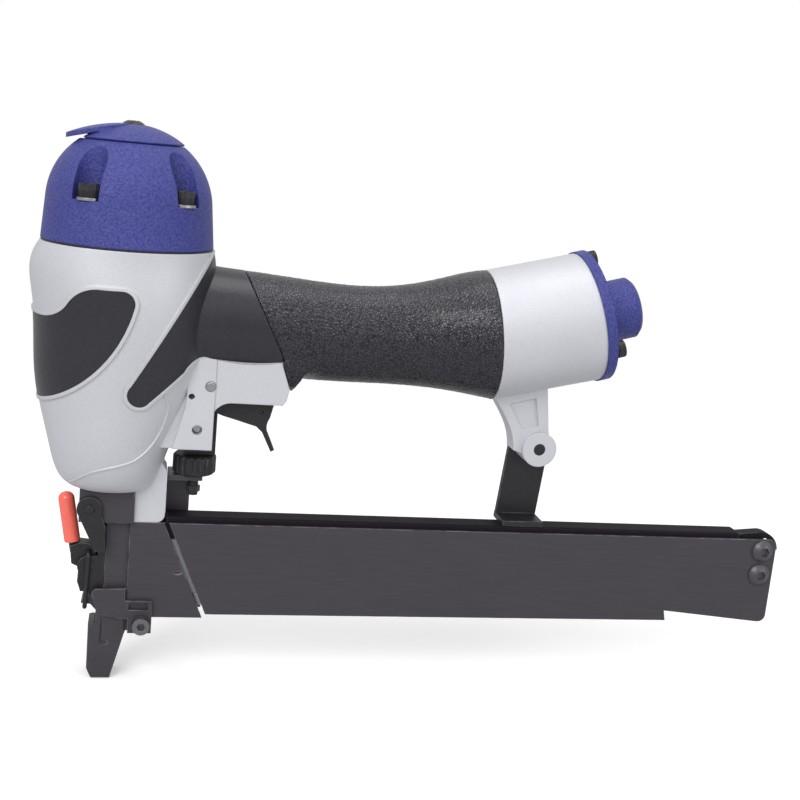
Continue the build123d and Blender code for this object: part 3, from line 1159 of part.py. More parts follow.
# Front door with its hinge ears, guide tongue and lever ears
DOOR_HALF = 5.0
DOOR_EAR_IN = HEAD_PLATE_HALF + SLIDE_GAP
DOOR_EAR_OUT = DOOR_EAR_IN + EAR_SHEET
with BuildPart() as front_door:
    add(side_block(((DOOR_FRONT_X, DOOR_BOTTOM_Z), (DOOR_REAR_X, DOOR_BOTTOM_Z), (DOOR_REAR_X, DOOR_TOP_Z),
                    (DOOR_FRONT_X, DOOR_TOP_Z)), -DOOR_HALF, DOOR_HALF))
    add(side_block(((DOOR_FRONT_X, 58.6), (DOOR_REAR_X, 58.6), (DOOR_REAR_X, DOOR_TOP_Z),
                    (DOOR_FRONT_X, DOOR_TOP_Z)),
                   -DOOR_EAR_OUT, DOOR_EAR_OUT))
    add(side_block(((DOOR_REAR_X - 1, 41), (-CHANNEL_HALF_X - 0.1, 41), (-CHANNEL_HALF_X - 0.1, DOOR_TOP_Z),
                    (DOOR_REAR_X - 1, DOOR_TOP_Z)), -CHANNEL_HALF + SLIDE_GAP, CHANNEL_HALF - SLIDE_GAP))
    for side in (-1, 1):
        with BuildSketch(Plane.XZ.offset(side * DOOR_EAR_IN)):
            with Locations(HINGE):
                Circle(HINGE_EAR)
            with BuildLine():
                Polyline((HINGE[0] - 4.8, HINGE[1] - 1.5), (DOOR_FRONT_X - 1, 58.6), (DOOR_REAR_X, 58.6),
                         (DOOR_REAR_X, DOOR_TOP_Z), (HINGE[0] + 4.6, HINGE[1] - 2), close=True)
            make_face()
            with Locations(HINGE):
                Circle(HINGE_RADIUS + RUN_GAP, mode=Mode.SUBTRACT)
        extrude(amount=side * EAR_SHEET)
        with BuildSketch(Plane.XZ.offset(side * (LEVER_HALF + SLIDE_GAP))):
            with Locations(LATCH_PIVOT):
                Circle(4.4)
            with BuildLine():
                Polyline((DOOR_FRONT_X + 1, DOOR_BOTTOM_Z + 0.4), (-12.4, DOOR_BOTTOM_Z + 0.4), (-13.8, 44),
                         (LATCH_PIVOT[0] - 4, LATCH_PIVOT[1] - 1.8), (LATCH_PIVOT[0], LATCH_PIVOT[1] + 4.4),
                         (DOOR_FRONT_X + 1, LATCH_PIVOT[1] + 4.4), close=True)
            make_face()
            with Locations(LATCH_PIVOT):
                Circle(LATCH_PIN_RADIUS + RUN_GAP, mode=Mode.SUBTRACT)
        extrude(amount=side * (DOOR_HALF - LEVER_HALF - SLIDE_GAP))
save(front_door, "front_door")
with BuildPart() as door_hinge_pin:
    add(cross_pin(HINGE, HINGE_RADIUS, DOOR_EAR_OUT + 0.8))
save(door_hinge_pin, "door_hinge_pin")

# Latch: lever with its red sleeve, pivot pin and wire bail
BAIL_PIVOT = (LATCH_PIVOT[0], LATCH_PIVOT[1] + BAIL_ARM)
TIP_ROD = 1.6
TIP_START = 1.6          # from the lever's end up to the sleeve's lower edge
tip_run = Vector(TIP_TOP[0] - TIP_LOW[0], 0, TIP_TOP[1] - TIP_LOW[1])
tip_plane = Plane(origin=(TIP_LOW[0], 0, TIP_LOW[1]), x_dir=(0, 1, 0), z_dir=tip_run.normalized())
with BuildPart() as latch_lever:
    with BuildSketch(Plane.XZ):
        with BuildLine():
            top = Polyline((-16.4, 51), (-17.2, 58.2), (-13.4, 59.9), (-9.2, 59.4), (-6.9, 57.6),
                           (-6.9, 50.5))
            heel = ThreePointArc(top @ 1, (-8, 47.9), (-12.6, 49.2))
            Line(heel @ 1, top @ 0)
        make_face()
        with Locations(LATCH_PIVOT):
            Circle(LATCH_PIN_RADIUS + RUN_GAP, mode=Mode.SUBTRACT)
        with Locations(BAIL_PIVOT):
            Circle(BAIL_WIRE / 2 + RUN_GAP, mode=Mode.SUBTRACT)
    extrude(amount=LEVER_HALF, both=True)
    with BuildSketch(tip_plane.offset(-3)):
        Circle(TIP_ROD)
    extrude(amount=tip_run.length)
save(latch_lever, "latch_lever")
with BuildPart() as latch_tip:
    with BuildSketch(tip_plane.offset(TIP_START)):
        Circle(TIP_RADIUS)
    extrude(amount=tip_run.length - TIP_START)
    fillet(latch_tip.faces().sort_by(Axis.Z)[-1].edges(), radius=TIP_RADIUS * 0.9)
    with BuildSketch(tip_plane):
        Circle(TIP_ROD + SEAT_GAP)
    extrude(amount=tip_run.length - 2.9, mode=Mode.SUBTRACT)
save(latch_tip, "latch_tip")
with BuildPart() as latch_pin:
    add(cross_pin(LATCH_PIVOT, LATCH_PIN_RADIUS, DOOR_HALF + 0.2))
save(latch_pin, "latch_pin")
with BuildPart() as latch_bail:
    with BuildLine() as bail_path:
        FilletPolyline((BAIL_PIVOT[0], 1.5, BAIL_PIVOT[1]), (BAIL_PIVOT[0], BAIL_HALF, BAIL_PIVOT[1]),
                       (BAIL_BAR[0], BAIL_HALF, BAIL_BAR[1]), (BAIL_BAR[0], -BAIL_HALF, BAIL_BAR[1]),
                       (BAIL_PIVOT[0], -BAIL_HALF, BAIL_PIVOT[1]), (BAIL_PIVOT[0], -1.5, BAIL_PIVOT[1]),
                       radius=2)
    with BuildSketch(Plane(origin=bail_path.wires()[0] @ 0, z_dir=bail_path.wires()[0] % 0)):
        Circle(BAIL_WIRE / 2)
    sweep(path=bail_path.wires()[0])
save(latch_bail, "latch_bail")

# Magazine rail: folded channel the staples run under, notched for the housing leg
RAIL_HALF = MAG_HALF - MAG_SHEET - SLIDE_GAP
RAIL_FRONT_X = SPINE_REAR_X + 0.3
RAIL_NOTCH_X = LEG_REAR_X + 0.9
RAIL_NOTCH_Z = MAG_TOP_Z - SLIDE_GAP
with BuildPart() as magazine_rail:
    add(side_block(((RAIL_FRONT_X, RAIL_LOW_Z), (RAIL_REAR_X, RAIL_LOW_Z), (RAIL_REAR_X, RAIL_TOP_Z),
                    (RAIL_NOTCH_X, RAIL_TOP_Z), (RAIL_NOTCH_X, RAIL_NOTCH_Z), (RAIL_FRONT_X, RAIL_NOTCH_Z)),
                   -RAIL_HALF, RAIL_HALF))
    fillet(magazine_rail.edges().filter_by(Axis.X).group_by(Axis.Z)[-1], radius=1.0)
    add(side_block(((RAIL_FRONT_X, RAIL_LOW_Z), (RAIL_REAR_X, RAIL_LOW_Z),
                    (RAIL_REAR_X, RAIL_TOP_Z - RAIL_SHEET),
                    (RAIL_NOTCH_X, RAIL_TOP_Z - RAIL_SHEET), (RAIL_NOTCH_X, RAIL_NOTCH_Z - RAIL_SHEET),
                    (RAIL_FRONT_X, RAIL_NOTCH_Z - RAIL_SHEET)),
                   -RAIL_HALF + RAIL_SHEET, RAIL_HALF - RAIL_SHEET), mode=Mode.SUBTRACT)
save(magazine_rail, "magazine_rail")

# Sliding magazine cover, with a finger notch under its rear end
TAIL_SCREWS = [(TAIL_SCREW_X, height) for height in TAIL_SCREW_Z]
PULL_REAR_X = 287.6
with BuildPart() as magazine_cover:
    with BuildSketch(Plane.XZ) as cover_side:
        with BuildLine():
            Polyline((SLANT_LOW_X, COVER_BOTTOM_Z), (PULL_NOTCH_X, COVER_BOTTOM_Z),
                     (PULL_NOTCH_X - 1, COVER_BOTTOM_Z + PULL_RISE), (PULL_REAR_X, COVER_BOTTOM_Z),
                     (COVER_REAR_X, COVER_BOTTOM_Z), (COVER_REAR_X, MAG_TOP_Z), (SLANT_TOP_X, MAG_TOP_Z),
                     close=True)
        make_face()
        fillet(cover_side.vertices().group_by(Axis.X)[-1], radius=3.2)
    extrude(amount=MAG_HALF, both=True)
    add(side_block(((SLANT_TOP_X - 1, COVER_BOTTOM_Z + MAG_SHEET),
                    (COVER_REAR_X + 1, COVER_BOTTOM_Z + MAG_SHEET),
                    (COVER_REAR_X + 1, MAG_TOP_Z + 1), (SLANT_TOP_X - 1, MAG_TOP_Z + 1)),
                   -MAG_HALF + MAG_SHEET, MAG_HALF - MAG_SHEET), mode=Mode.SUBTRACT)
    with BuildSketch(Plane.XZ):
        with Locations(TAIL_SCREWS):
            Circle(M5 / 2 + RUN_GAP)
    extrude(amount=REACH, both=True, mode=Mode.SUBTRACT)
save(magazine_cover, "magazine_cover")

# Core rail that carries the staples, standing on the web of the cover
with BuildPart() as core_rail:
    add(side_block(((CORE_FRONT_X + 3, CORE_TOP_Z - 14), (CORE_FRONT_X + 14, COVER_BOTTOM_Z + 2 * MAG_SHEET),
                    (SLANT_LOW_X, COVER_BOTTOM_Z + 2 * MAG_SHEET),
                    (SLANT_LOW_X + 4, COVER_BOTTOM_Z + MAG_SHEET),
                    (PULL_NOTCH_X - 4, COVER_BOTTOM_Z + MAG_SHEET),
                    (TAIL_FRONT_X - SEAT_GAP, CORE_TOP_Z - 14),
                    (TAIL_FRONT_X - SEAT_GAP, CORE_TOP_Z), (CORE_FRONT_X, CORE_TOP_Z),
                    (CORE_FRONT_X, CORE_TOP_Z - 10)),
                   -CORE_HALF, CORE_HALF))
save(core_rail, "core_rail")

# Staple pusher astride the core, on the spring rod
PUSHER_REAR_X = PUSHER_FRONT_X + PUSHER_LENGTH
PUSHER_TOP_Z = WINDOW_Z[1] - 1
EYE_FRONT_X = SPINE_REAR_X + 2
EYE_RISE = 2.6
with BuildPart() as pusher:
    add(side_block(((PUSHER_FRONT_X, CORE_TOP_Z - 12), (PUSHER_REAR_X, CORE_TOP_Z - 12),
                    (PUSHER_REAR_X, PUSHER_TOP_Z), (PUSHER_FRONT_X, PUSHER_TOP_Z)),
                   -PUSHER_HALF, PUSHER_HALF))
    add(side_block(((EYE_FRONT_X, PUSHER_TOP_Z - 1), (PUSHER_REAR_X, PUSHER_TOP_Z - 1),
                    (PUSHER_REAR_X, ROD_Z + EYE_RISE), (EYE_FRONT_X, ROD_Z + EYE_RISE)),
                   -PUSHER_HALF, PUSHER_HALF))
    add(side_block(((PUSHER_FRONT_X - 1, 0), (PUSHER_REAR_X + 1, 0),
                    (PUSHER_REAR_X + 1, CORE_TOP_Z + SLIDE_GAP),
                    (PUSHER_FRONT_X - 1, CORE_TOP_Z + SLIDE_GAP)),
                   -CORE_HALF - SLIDE_GAP, CORE_HALF + SLIDE_GAP), mode=Mode.SUBTRACT)
    with BuildSketch(Plane(origin=(0, 0, ROD_Z), x_dir=(0, 1, 0), z_dir=(1, 0, 0))):
        Circle(ROD_RADIUS + RUN_GAP)
    extrude(amount=REACH, mode=Mode.SUBTRACT)
save(pusher, "pusher")
rod_plane = Plane(origin=(RAIL_FRONT_X, 0, ROD_Z), x_dir=(0, 1, 0), z_dir=(1, 0, 0))
ROD_REAR_X = TAIL_FRONT_X + 1.2
with BuildPart() as spring_rod:
    with BuildSketch(rod_plane):
        Circle(ROD_RADIUS)
    extrude(amount=ROD_REAR_X - RAIL_FRONT_X)
save(spring_rod, "spring_rod")
with BuildPart() as pusher_spring:
    with BuildSketch(rod_plane.offset(PUSHER_REAR_X - RAIL_FRONT_X)):
        Circle(PUSHER_COIL_RADIUS + PUSHER_WIRE / 2)
        Circle(PUSHER_COIL_RADIUS - PUSHER_WIRE / 2, mode=Mode.SUBTRACT)
    extrude(amount=TAIL_FRONT_X - PUSHER_REAR_X)
save(pusher_spring, "pusher_spring")

# Tail block between the cover's side plates, with its two screws
TAIL_HALF = MAG_HALF - MAG_SHEET - SEAT_GAP
TAIL_TOP_Z = 68.2
TAIL_CHAMFER = 2.0
TAIL_REAR_X = COVER_REAR_X - 0.6
CATCH_PIN = (279.4, 66.4)
CATCH_PIN_RADIUS = 1.25
CATCH_EYE = 2.6
with BuildPart() as tail_block:
    add(side_block(((TAIL_FRONT_X, CORE_TOP_Z - 20), (TAIL_REAR_X - 6, CORE_TOP_Z - 22),
                    (TAIL_REAR_X, CORE_TOP_Z - 16),
                    (TAIL_REAR_X, TAIL_TOP_Z - TAIL_CHAMFER), (TAIL_REAR_X - 2 * TAIL_CHAMFER, TAIL_TOP_Z),
                    (TAIL_FRONT_X, TAIL_TOP_Z)), -TAIL_HALF, TAIL_HALF))
    with BuildSketch(Plane.XZ):
        with Locations(CATCH_PIN):
            Rectangle(2 * CATCH_EYE + 1, 2 * CATCH_EYE + 1)
    extrude(amount=CATCH_HALF + SLIDE_GAP, both=True, mode=Mode.SUBTRACT)
    with BuildSketch(rod_plane):
        Circle(ROD_RADIUS + SEAT_GAP)
    extrude(amount=ROD_REAR_X - RAIL_FRONT_X, mode=Mode.SUBTRACT)
    with BuildSketch(Plane.XZ):
        with Locations(TAIL_SCREWS):
            Circle(M5 / 2 + RUN_GAP)
        with Locations(CATCH_PIN):
            Circle(CATCH_PIN_RADIUS + RUN_GAP)
    extrude(amount=REACH, both=True, mode=Mode.SUBTRACT)
save(tail_block, "tail_block")
with BuildPart() as tail_screws:
    for screw_x, screw_z in TAIL_SCREWS:
        add(button_screw(Plane(origin=(screw_x, -MAG_HALF, screw_z), x_dir=(1, 0, 0), z_dir=(0, -1, 0)),
                         M5 / 2, 2 * MAG_HALF))
save(tail_screws, "tail_screws")

# Rear catch: thumb lever over the tail block, rocking on its pin
CATCH_FRONT_X = RAIL_REAR_X + 0.9
CATCH_TOP_Z = 72.4
CATCH_LOW_Z = 69.8
CATCH_REAR_X = 294.6
with BuildPart() as rear_catch:
    with BuildSketch(Plane.XZ):
        with BuildLine():
            top = Polyline((CATCH_FRONT_X, CATCH_LOW_Z), (CATCH_FRONT_X, CATCH_TOP_Z - 0.8),
                           (285, CATCH_TOP_Z + 0.2))
            brow = ThreePointArc(top @ 1, (291.2, 70.8), (CATCH_REAR_X, 64.6))
            lip = Polyline(brow @ 1, (292.6, 64.4), (292.2, 67))
            inner = ThreePointArc(lip @ 1, (291.2, 69.0), (288.6, CATCH_LOW_Z))
            Line(inner @ 1, top @ 0)
        make_face()
        with BuildLine():
            Polyline((CATCH_PIN[0] - CATCH_EYE, CATCH_PIN[1]), (CATCH_PIN[0] + CATCH_EYE, CATCH_PIN[1]),
                     (CATCH_PIN[0] + CATCH_EYE, CATCH_LOW_Z + 1),
                     (CATCH_PIN[0] - CATCH_EYE, CATCH_LOW_Z + 1), close=True)
        make_face()
        with Locations(CATCH_PIN):
            Circle(CATCH_EYE)
            Circle(CATCH_PIN_RADIUS + RUN_GAP, mode=Mode.SUBTRACT)
    extrude(amount=CATCH_HALF, both=True)
save(rear_catch, "rear_catch")
with BuildPart() as catch_pin:
    add(cross_pin(CATCH_PIN, CATCH_PIN_RADIUS, TAIL_HALF - 0.1))
save(catch_pin, "catch_pin")

# Support strap from the arm's boss down to the rail, and its screw
STRAP_FACE = SUPPORT_HALF + SEAT_GAP
STRAP_TOP_RADIUS = STRAP_WIDTH / 2
with BuildPart() as support_strap:
    with BuildSketch(Plane.XZ.offset(-STRAP_FACE)):
        with Locations(BOSS_CENTRE):
            Circle(STRAP_TOP_RADIUS)
        with BuildLine():
            Polyline((BOSS_CENTRE[0] - STRAP_TOP_RADIUS, BOSS_CENTRE[1]),
                     (STRAP_LOW_X - STRAP_WIDTH / 2, RAIL_TOP_Z),
                     (STRAP_LOW_X + STRAP_WIDTH / 2, RAIL_TOP_Z),
                     (BOSS_CENTRE[0] + STRAP_TOP_RADIUS, BOSS_CENTRE[1]), close=True)
        make_face()
        with Locations(BOSS_CENTRE):
            Circle(M5 / 2 + RUN_GAP, mode=Mode.SUBTRACT)
    extrude(amount=-STRAP_SHEET)
    with BuildSketch(Plane.XY.offset(RAIL_TOP_Z)):
        with Locations((STRAP_LOW_X, STRAP_FACE + STRAP_SHEET)):
            Rectangle(STRAP_WIDTH, STRAP_FACE + STRAP_SHEET + RAIL_HALF, align=(Align.CENTER, Align.MAX))
    extrude(amount=STRAP_SHEET)
save(support_strap, "support_strap")
with BuildPart() as strap_screw:
    add(socket_screw(Plane(origin=(BOSS_CENTRE[0], STRAP_FACE + STRAP_SHEET, BOSS_CENTRE[1]),
                           x_dir=(1, 0, 0), z_dir=(0, 1, 0)),
                     M5_HEAD / 2, M5_HEAD_HEIGHT, M5_HEX, M5 / 2, STRAP_SHEET + 2 * SUPPORT_HALF))
save(strap_screw, "strap_screw")
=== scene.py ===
import json
import logging
import math
from dataclasses import dataclass, field, replace
from enum import Enum, IntEnum

import bmesh
import bpy
from bpy.types import Material, Mesh, Node, NodeSocket, NodeTree, Object, World
from mathutils import Matrix, Vector
from mathutils.bvhtree import BVHTree


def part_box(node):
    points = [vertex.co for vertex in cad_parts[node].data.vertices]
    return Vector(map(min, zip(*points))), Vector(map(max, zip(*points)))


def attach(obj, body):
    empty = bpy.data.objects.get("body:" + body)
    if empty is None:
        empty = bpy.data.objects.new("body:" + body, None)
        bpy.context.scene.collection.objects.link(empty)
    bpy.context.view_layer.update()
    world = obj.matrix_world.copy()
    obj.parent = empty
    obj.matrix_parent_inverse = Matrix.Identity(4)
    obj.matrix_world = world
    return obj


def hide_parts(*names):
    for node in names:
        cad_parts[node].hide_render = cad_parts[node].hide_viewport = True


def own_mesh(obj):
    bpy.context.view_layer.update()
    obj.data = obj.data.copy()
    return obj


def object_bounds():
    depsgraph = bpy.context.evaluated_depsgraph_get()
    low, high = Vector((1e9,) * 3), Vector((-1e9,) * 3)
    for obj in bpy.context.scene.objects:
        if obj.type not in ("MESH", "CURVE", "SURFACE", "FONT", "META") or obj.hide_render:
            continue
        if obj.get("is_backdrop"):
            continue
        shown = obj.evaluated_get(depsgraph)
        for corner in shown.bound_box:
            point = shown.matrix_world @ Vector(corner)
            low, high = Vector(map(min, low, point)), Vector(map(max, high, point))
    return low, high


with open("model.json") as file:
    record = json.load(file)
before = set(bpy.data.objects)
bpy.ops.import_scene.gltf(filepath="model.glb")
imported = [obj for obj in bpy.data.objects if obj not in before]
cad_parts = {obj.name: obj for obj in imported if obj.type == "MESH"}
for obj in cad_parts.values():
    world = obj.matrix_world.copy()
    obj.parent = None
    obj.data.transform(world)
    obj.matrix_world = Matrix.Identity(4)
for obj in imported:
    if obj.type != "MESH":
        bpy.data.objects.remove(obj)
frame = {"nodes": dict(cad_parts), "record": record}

Names = tuple[str, ...]
Pair = tuple[float, float]

MM = 0.001
LOG = logging.getLogger("stapler")
WHITE = "#ffffff"

# Patterns that the finishes share: large blotches, paler edges that are partly rubbed and partly painted
# highlight, and the scuffs on bare metal
BLOTCH_MM = 16.0
RUB_AND_GLINT_MM = 5.0
SCUFF_MM = 0.8
# Cosine between the rounded and the true normal, where the paler edge, partly wear and partly painted
# highlight, starts and where it is full
RUB_AND_GLINT_TURN = (0.985, 0.80)
# Part of the edge noise over which an edge goes from coated to its paler colour of wear and painted
# highlight
RUB_AND_GLINT_PATCH = (0.4, 0.62)
# Part of the grain noise that the relief uses, and where a pebble's slope ends inside its cell
GRAIN_BAND = (0.34, 0.66)
PEBBLE_SLOPE = 0.3
# Rolled lines and scuffs run along X
ROLLED_SCALE = (0.05, 1, 1)
SCUFF_SCALE = (0.03, 1, 1)
SCUFF_ROUGHNESS = (0.26, 0.44)
# Half the height over which a coat ends above bare metal
BARE_FADE_MM = 0.4
BEVEL_SAMPLES = 6

# Sides of the swept and ridged forms, and where a crease's slope ends inside its cell
WIRE_SIDES = 8
RIDGE_SIDES = 6
BEAD_SIDES = 10
CREASE_SLOPE = 0.28
# Vertices closer than this, in metres, are one
WELD_DISTANCE = 1e-6


def linear(hex_colour: str) -> tuple[float, float, float, float]:
    """Turn an sRGB hex colour into linear RGBA.

    Args:
        hex_colour: Colour as "#rrggbb".

    Returns:
        Linear red, green, blue and an alpha of one.
    """
    parts = [int(hex_colour[i:i + 2], 16) / 255 for i in (1, 3, 5)]
    red, green, blue = (c / 12.92 if c <= 0.04045 else ((c + 0.055) / 1.055) ** 2.4 for c in parts)
    return red, green, blue, 1.0


def add_node(tree: NodeTree, kind: str, values: dict | None = None) -> Node:
    """Add one node.

    Args:
        tree: Tree that gets the node.
        kind: Node type.
        values: Attribute names, or input names and numbers, to what they get: a value, the socket that
            feeds them, or the node whose first output does.

    Returns:
        The new node.
    """
    node = tree.nodes.new(kind)
    for key, value in (values or {}).items():
        source = value.outputs[0] if isinstance(value, Node) else value
        if isinstance(source, NodeSocket):
            tree.links.new(source, node.inputs[key])
        elif isinstance(key, str) and hasattr(node, key):
            setattr(node, key, source)
        else:
            node.inputs[key].default_value = source
    return node


def ramp(tree: NodeTree, value: Node | NodeSocket, source: Pair = (0.0, 1.0), target: Pair = (0.0, 1.0),
         smooth: bool = False) -> Node:
    """Map a value from a source range onto a target range, with eased ends if it is smooth."""
    values = {"interpolation_type": "SMOOTHSTEP" if smooth else "LINEAR", "From Min": source[0],
              "From Max": source[1], "To Min": target[0], "To Max": target[1], "Value": value}
    return add_node(tree, "ShaderNodeMapRange", values)


def noise(tree: NodeTree, place: Node | NodeSocket, size_mm: float, detail: float = 3.0,
          roughness: float = 0.5) -> Node:
    """Add a cloudy noise of a size."""
    values = {"Scale": 1 / (size_mm * MM), "Detail": detail, "Roughness": roughness, "Vector": place}
    return add_node(tree, "ShaderNodeTexNoise", values)


def calculate(tree: NodeTree, operation: str, *values: Node | NodeSocket | float) -> Node:
    """Add one step of arithmetic on its values."""
    return add_node(tree, "ShaderNodeMath", {"operation": operation} | dict(enumerate(values)))


def mix_colours(tree: NodeTree, share: Node | NodeSocket, *pair: NodeSocket | str) -> NodeSocket:
    """Mix a pair of colours, each a socket or hex, by the second one's share: inputs 6 and 7, output 2."""
    colours = {key: linear(c) if isinstance(c, str) else c for key, c in zip((6, 7), pair)}
    return add_node(tree, "ShaderNodeMix", {"data_type": "RGBA", 0: share} | colours).outputs[2]


def blank_tree(holder: Material | World) -> NodeTree:
    """Give the emptied node tree of a material or a world.

    Args:
        holder: The material or world.

    Returns:
        Its tree, without nodes.
    """
    holder.use_nodes = True
    holder.node_tree.nodes.clear()
    return holder.node_tree


class Grain(Enum):
    """Pattern of a surface's relief."""

    SAND = "fine sand of painted, blackened, turned and moulded surfaces"
    PEBBLE = "leather grain moulded into rubber"
    ROLLED = "faint lines along rolled sheet"


class Axis(IntEnum):
    """Axis that a spring is wound along."""

    X = 0
    Z = 2


@dataclass(frozen=True)
class Finish:
    """One real material and how its surface was made.

    Attributes:
        mottle_hex: Colour that large blotches mix into the body's.
        crease_shade_hex: Painted shade for the grain's low places, mixed in by the share low.
        rub_and_glint_hex: Paler colour of edges, partly rubbed and partly painted highlight, mixed in by
            the share rub_and_glint, and of bare metal.
        rough_spread: How far the blotches change the roughness.
        shine: Specular level of the grain's high places.
        bare_below_mm: Height below which the metal is rubbed bare, if it is.
    """

    name: str
    body_hex: str
    mottle_hex: str
    crease_shade_hex: str
    rub_and_glint_hex: str
    roughness: float
    grain_mm: float
    relief_mm: float
    grain: Grain = Grain.SAND
    # Share of painted shade in the grain's low places, which also lowers their shine
    low: float = 0.3
    # Share of the paler edge colour: partly wear, partly painted edge highlight
    rub_and_glint: float = 0.2
    metallic: float = 0.0
    rough_spread: float = 0.05
    coat: float = 0.0
    edge_mm: float = 0.5
    shine: float = 0.5
    bare_below_mm: float | None = None

    def height(self, tree: NodeTree, place: NodeSocket) -> Node:
        """Add the relief pattern.

        Args:
            tree: Material tree.
            place: Object coordinates.

        Returns:
            Node with the height, about 0 to 1.
        """
        if self.grain is Grain.PEBBLE:
            cells = add_node(tree, "ShaderNodeTexVoronoi", {"feature": "DISTANCE_TO_EDGE", "Vector": place,
                                                            "Scale": 1 / (self.grain_mm * MM)})
            return ramp(tree, cells.outputs["Distance"], (0.0, PEBBLE_SLOPE))
        stretch = ROLLED_SCALE if self.grain is Grain.ROLLED else (1, 1, 1)
        laid = add_node(tree, "ShaderNodeMapping", {"Scale": stretch, "Vector": place})
        return ramp(tree, noise(tree, laid, self.grain_mm, roughness=0.6), GRAIN_BAND)

    def material(self) -> Material:
        """Build the finish as a node material.

        Returns:
            The material.
        """
        made = bpy.data.materials.new(self.name)
        tree = blank_tree(made)
        place = add_node(tree, "ShaderNodeTexCoord").outputs["Object"]
        height = self.height(tree, place)
        blotch = noise(tree, place, BLOTCH_MM)
        tone = mix_colours(tree, blotch, self.body_hex, self.mottle_hex)
        # Painted shade: the grain's low places are darkened towards the finish's shade colour
        crease_shaded_tone = mix_colours(tree, ramp(tree, height, target=(self.low, 0.0)), tone, self.crease_shade_hex)
        # Paler edges, partly rubbed and partly painted highlight: the rounded normal leaves the true one
        # near an edge, broken up by a noise
        rounded = add_node(tree, "ShaderNodeBevel", {"samples": BEVEL_SAMPLES, "Radius": self.edge_mm * MM})
        flat = add_node(tree, "ShaderNodeNewGeometry").outputs["Normal"]
        turn = add_node(tree, "ShaderNodeVectorMath", {"operation": "DOT_PRODUCT", 0: rounded, 1: flat})
        edge = ramp(tree, turn.outputs["Value"], RUB_AND_GLINT_TURN, (0.0, self.rub_and_glint))
        patch = ramp(tree, noise(tree, place, RUB_AND_GLINT_MM, detail=4.0), RUB_AND_GLINT_PATCH)
        colour = mix_colours(tree, calculate(tree, "MULTIPLY", edge, patch), crease_shaded_tone, self.rub_and_glint_hex)
        gloss = ramp(tree, blotch, target=(self.roughness - self.rough_spread,
                                           self.roughness + self.rough_spread))
        relief = add_node(tree, "ShaderNodeBump", {"Strength": 1.0, "Distance": self.relief_mm * MM,
                                                   "Height": height, "Normal": rounded})
        # Low places are shaded by their walls, so they shine less
        shine = ramp(tree, height, target=(self.shine * (1 - self.low), self.shine))
        surface = add_node(tree, "ShaderNodeBsdfPrincipled",
                           {"Base Color": colour, "Metallic": self.metallic, "Roughness": gloss,
                            "Specular IOR Level": shine, "Coat Weight": self.coat, "Normal": relief})
        if self.bare_below_mm is not None:
            surface = self.bare(tree, place, relief, surface)
        add_node(tree, "ShaderNodeOutputMaterial", {"Surface": surface})
        return made

    def bare(self, tree: NodeTree, place: NodeSocket, relief: Node, coated: Node) -> Node:
        """Lay bare metal below a height, where another piece rubs.

        Args:
            tree: Material tree.
            place: Object coordinates.
            relief: Node with the bumped normal.
            coated: Node with the coated surface.

        Returns:
            Node with the coated surface above and bare metal below.
        """
        height = add_node(tree, "ShaderNodeSeparateXYZ", {"Vector": place}).outputs["Z"]
        edge = self.bare_below_mm * MM
        share = ramp(tree, height, (edge + BARE_FADE_MM * MM, edge - BARE_FADE_MM * MM))
        lines = add_node(tree, "ShaderNodeMapping", {"Scale": SCUFF_SCALE, "Vector": place})
        gloss = ramp(tree, noise(tree, lines, SCUFF_MM), target=SCUFF_ROUGHNESS)
        metal = add_node(tree, "ShaderNodeBsdfPrincipled",
                         {"Base Color": linear(self.rub_and_glint_hex), "Metallic": 1.0, "Roughness": gloss,
                          "Normal": relief})
        return add_node(tree, "ShaderNodeMixShader", {0: share, 1: coated, 2: metal})


# In each finish below, the fourth colour is painted shade for the grain's low places
# The fifth colour is for paler edges: partly wear, partly painted edge highlight
# Die cast alloy under silver lacquer: pale, faintly sparkling, soft highlights
SILVER = Finish("silver_lacquer_on_die_cast_alloy", "#d2d3d8", "#cbccd2", "#b4b4bc", "#e0e1e4",
                roughness=0.5, grain_mm=0.5, relief_mm=0.03, low=0.35, metallic=0.3, edge_mm=0.7)
# Thick blue textured paint: a fine grain that breaks up the highlights
BLUE = Finish("blue_textured_paint_on_alloy", "#474b94", "#42468e", "#31357a", "#6a6fae", roughness=0.45,
              grain_mm=0.8, relief_mm=0.16, low=0.7, rub_and_glint=0.3, edge_mm=0.8)
# Moulded rubber inlays: smooth and satin
RUBBER = Finish("moulded_black_rubber", "#23232a", "#292930", "#1e1e24", "#38383f", roughness=0.33,
                grain_mm=1.4, relief_mm=0.02, low=0.15, edge_mm=0.6)
# Rubber sleeve with a leather grain; the larger pebbles are in its mesh, and its creases carry a near-black
# painted shade
GRAINED = Finish("leather_grained_black_rubber", "#2f2e38", "#35343e", "#0d0d10", "#3f3e48",
                 roughness=0.25, grain_mm=1.0, relief_mm=0.11, grain=Grain.PEBBLE, low=0.75, rub_and_glint=0.1,
                 rough_spread=0.04, coat=0.2, shine=0.6)
# Pressed steel in black oxide: dark and even, paler at the edges, partly rubbed bare and partly painted
# highlight
BLACK_STEEL = Finish("black_oxide_pressed_steel", "#232126", "#1e1c21", "#18171b", "#8d8b90",
                     roughness=0.42, grain_mm=0.6, relief_mm=0.012, rub_and_glint=0.75,
                     rough_spread=0.07, edge_mm=0.6)
# Rolled sheet in black oxide: faint lines along the sheet, a broad satin sheen
BLACK_SHEET = Finish("black_oxide_rolled_sheet", "#3f3b42", "#39353c", "#353138", "#a09ea3",
                     roughness=0.4, grain_mm=0.7, relief_mm=0.006, grain=Grain.ROLLED, low=0.18, rub_and_glint=0.8,
                     rough_spread=0.06, edge_mm=0.6)
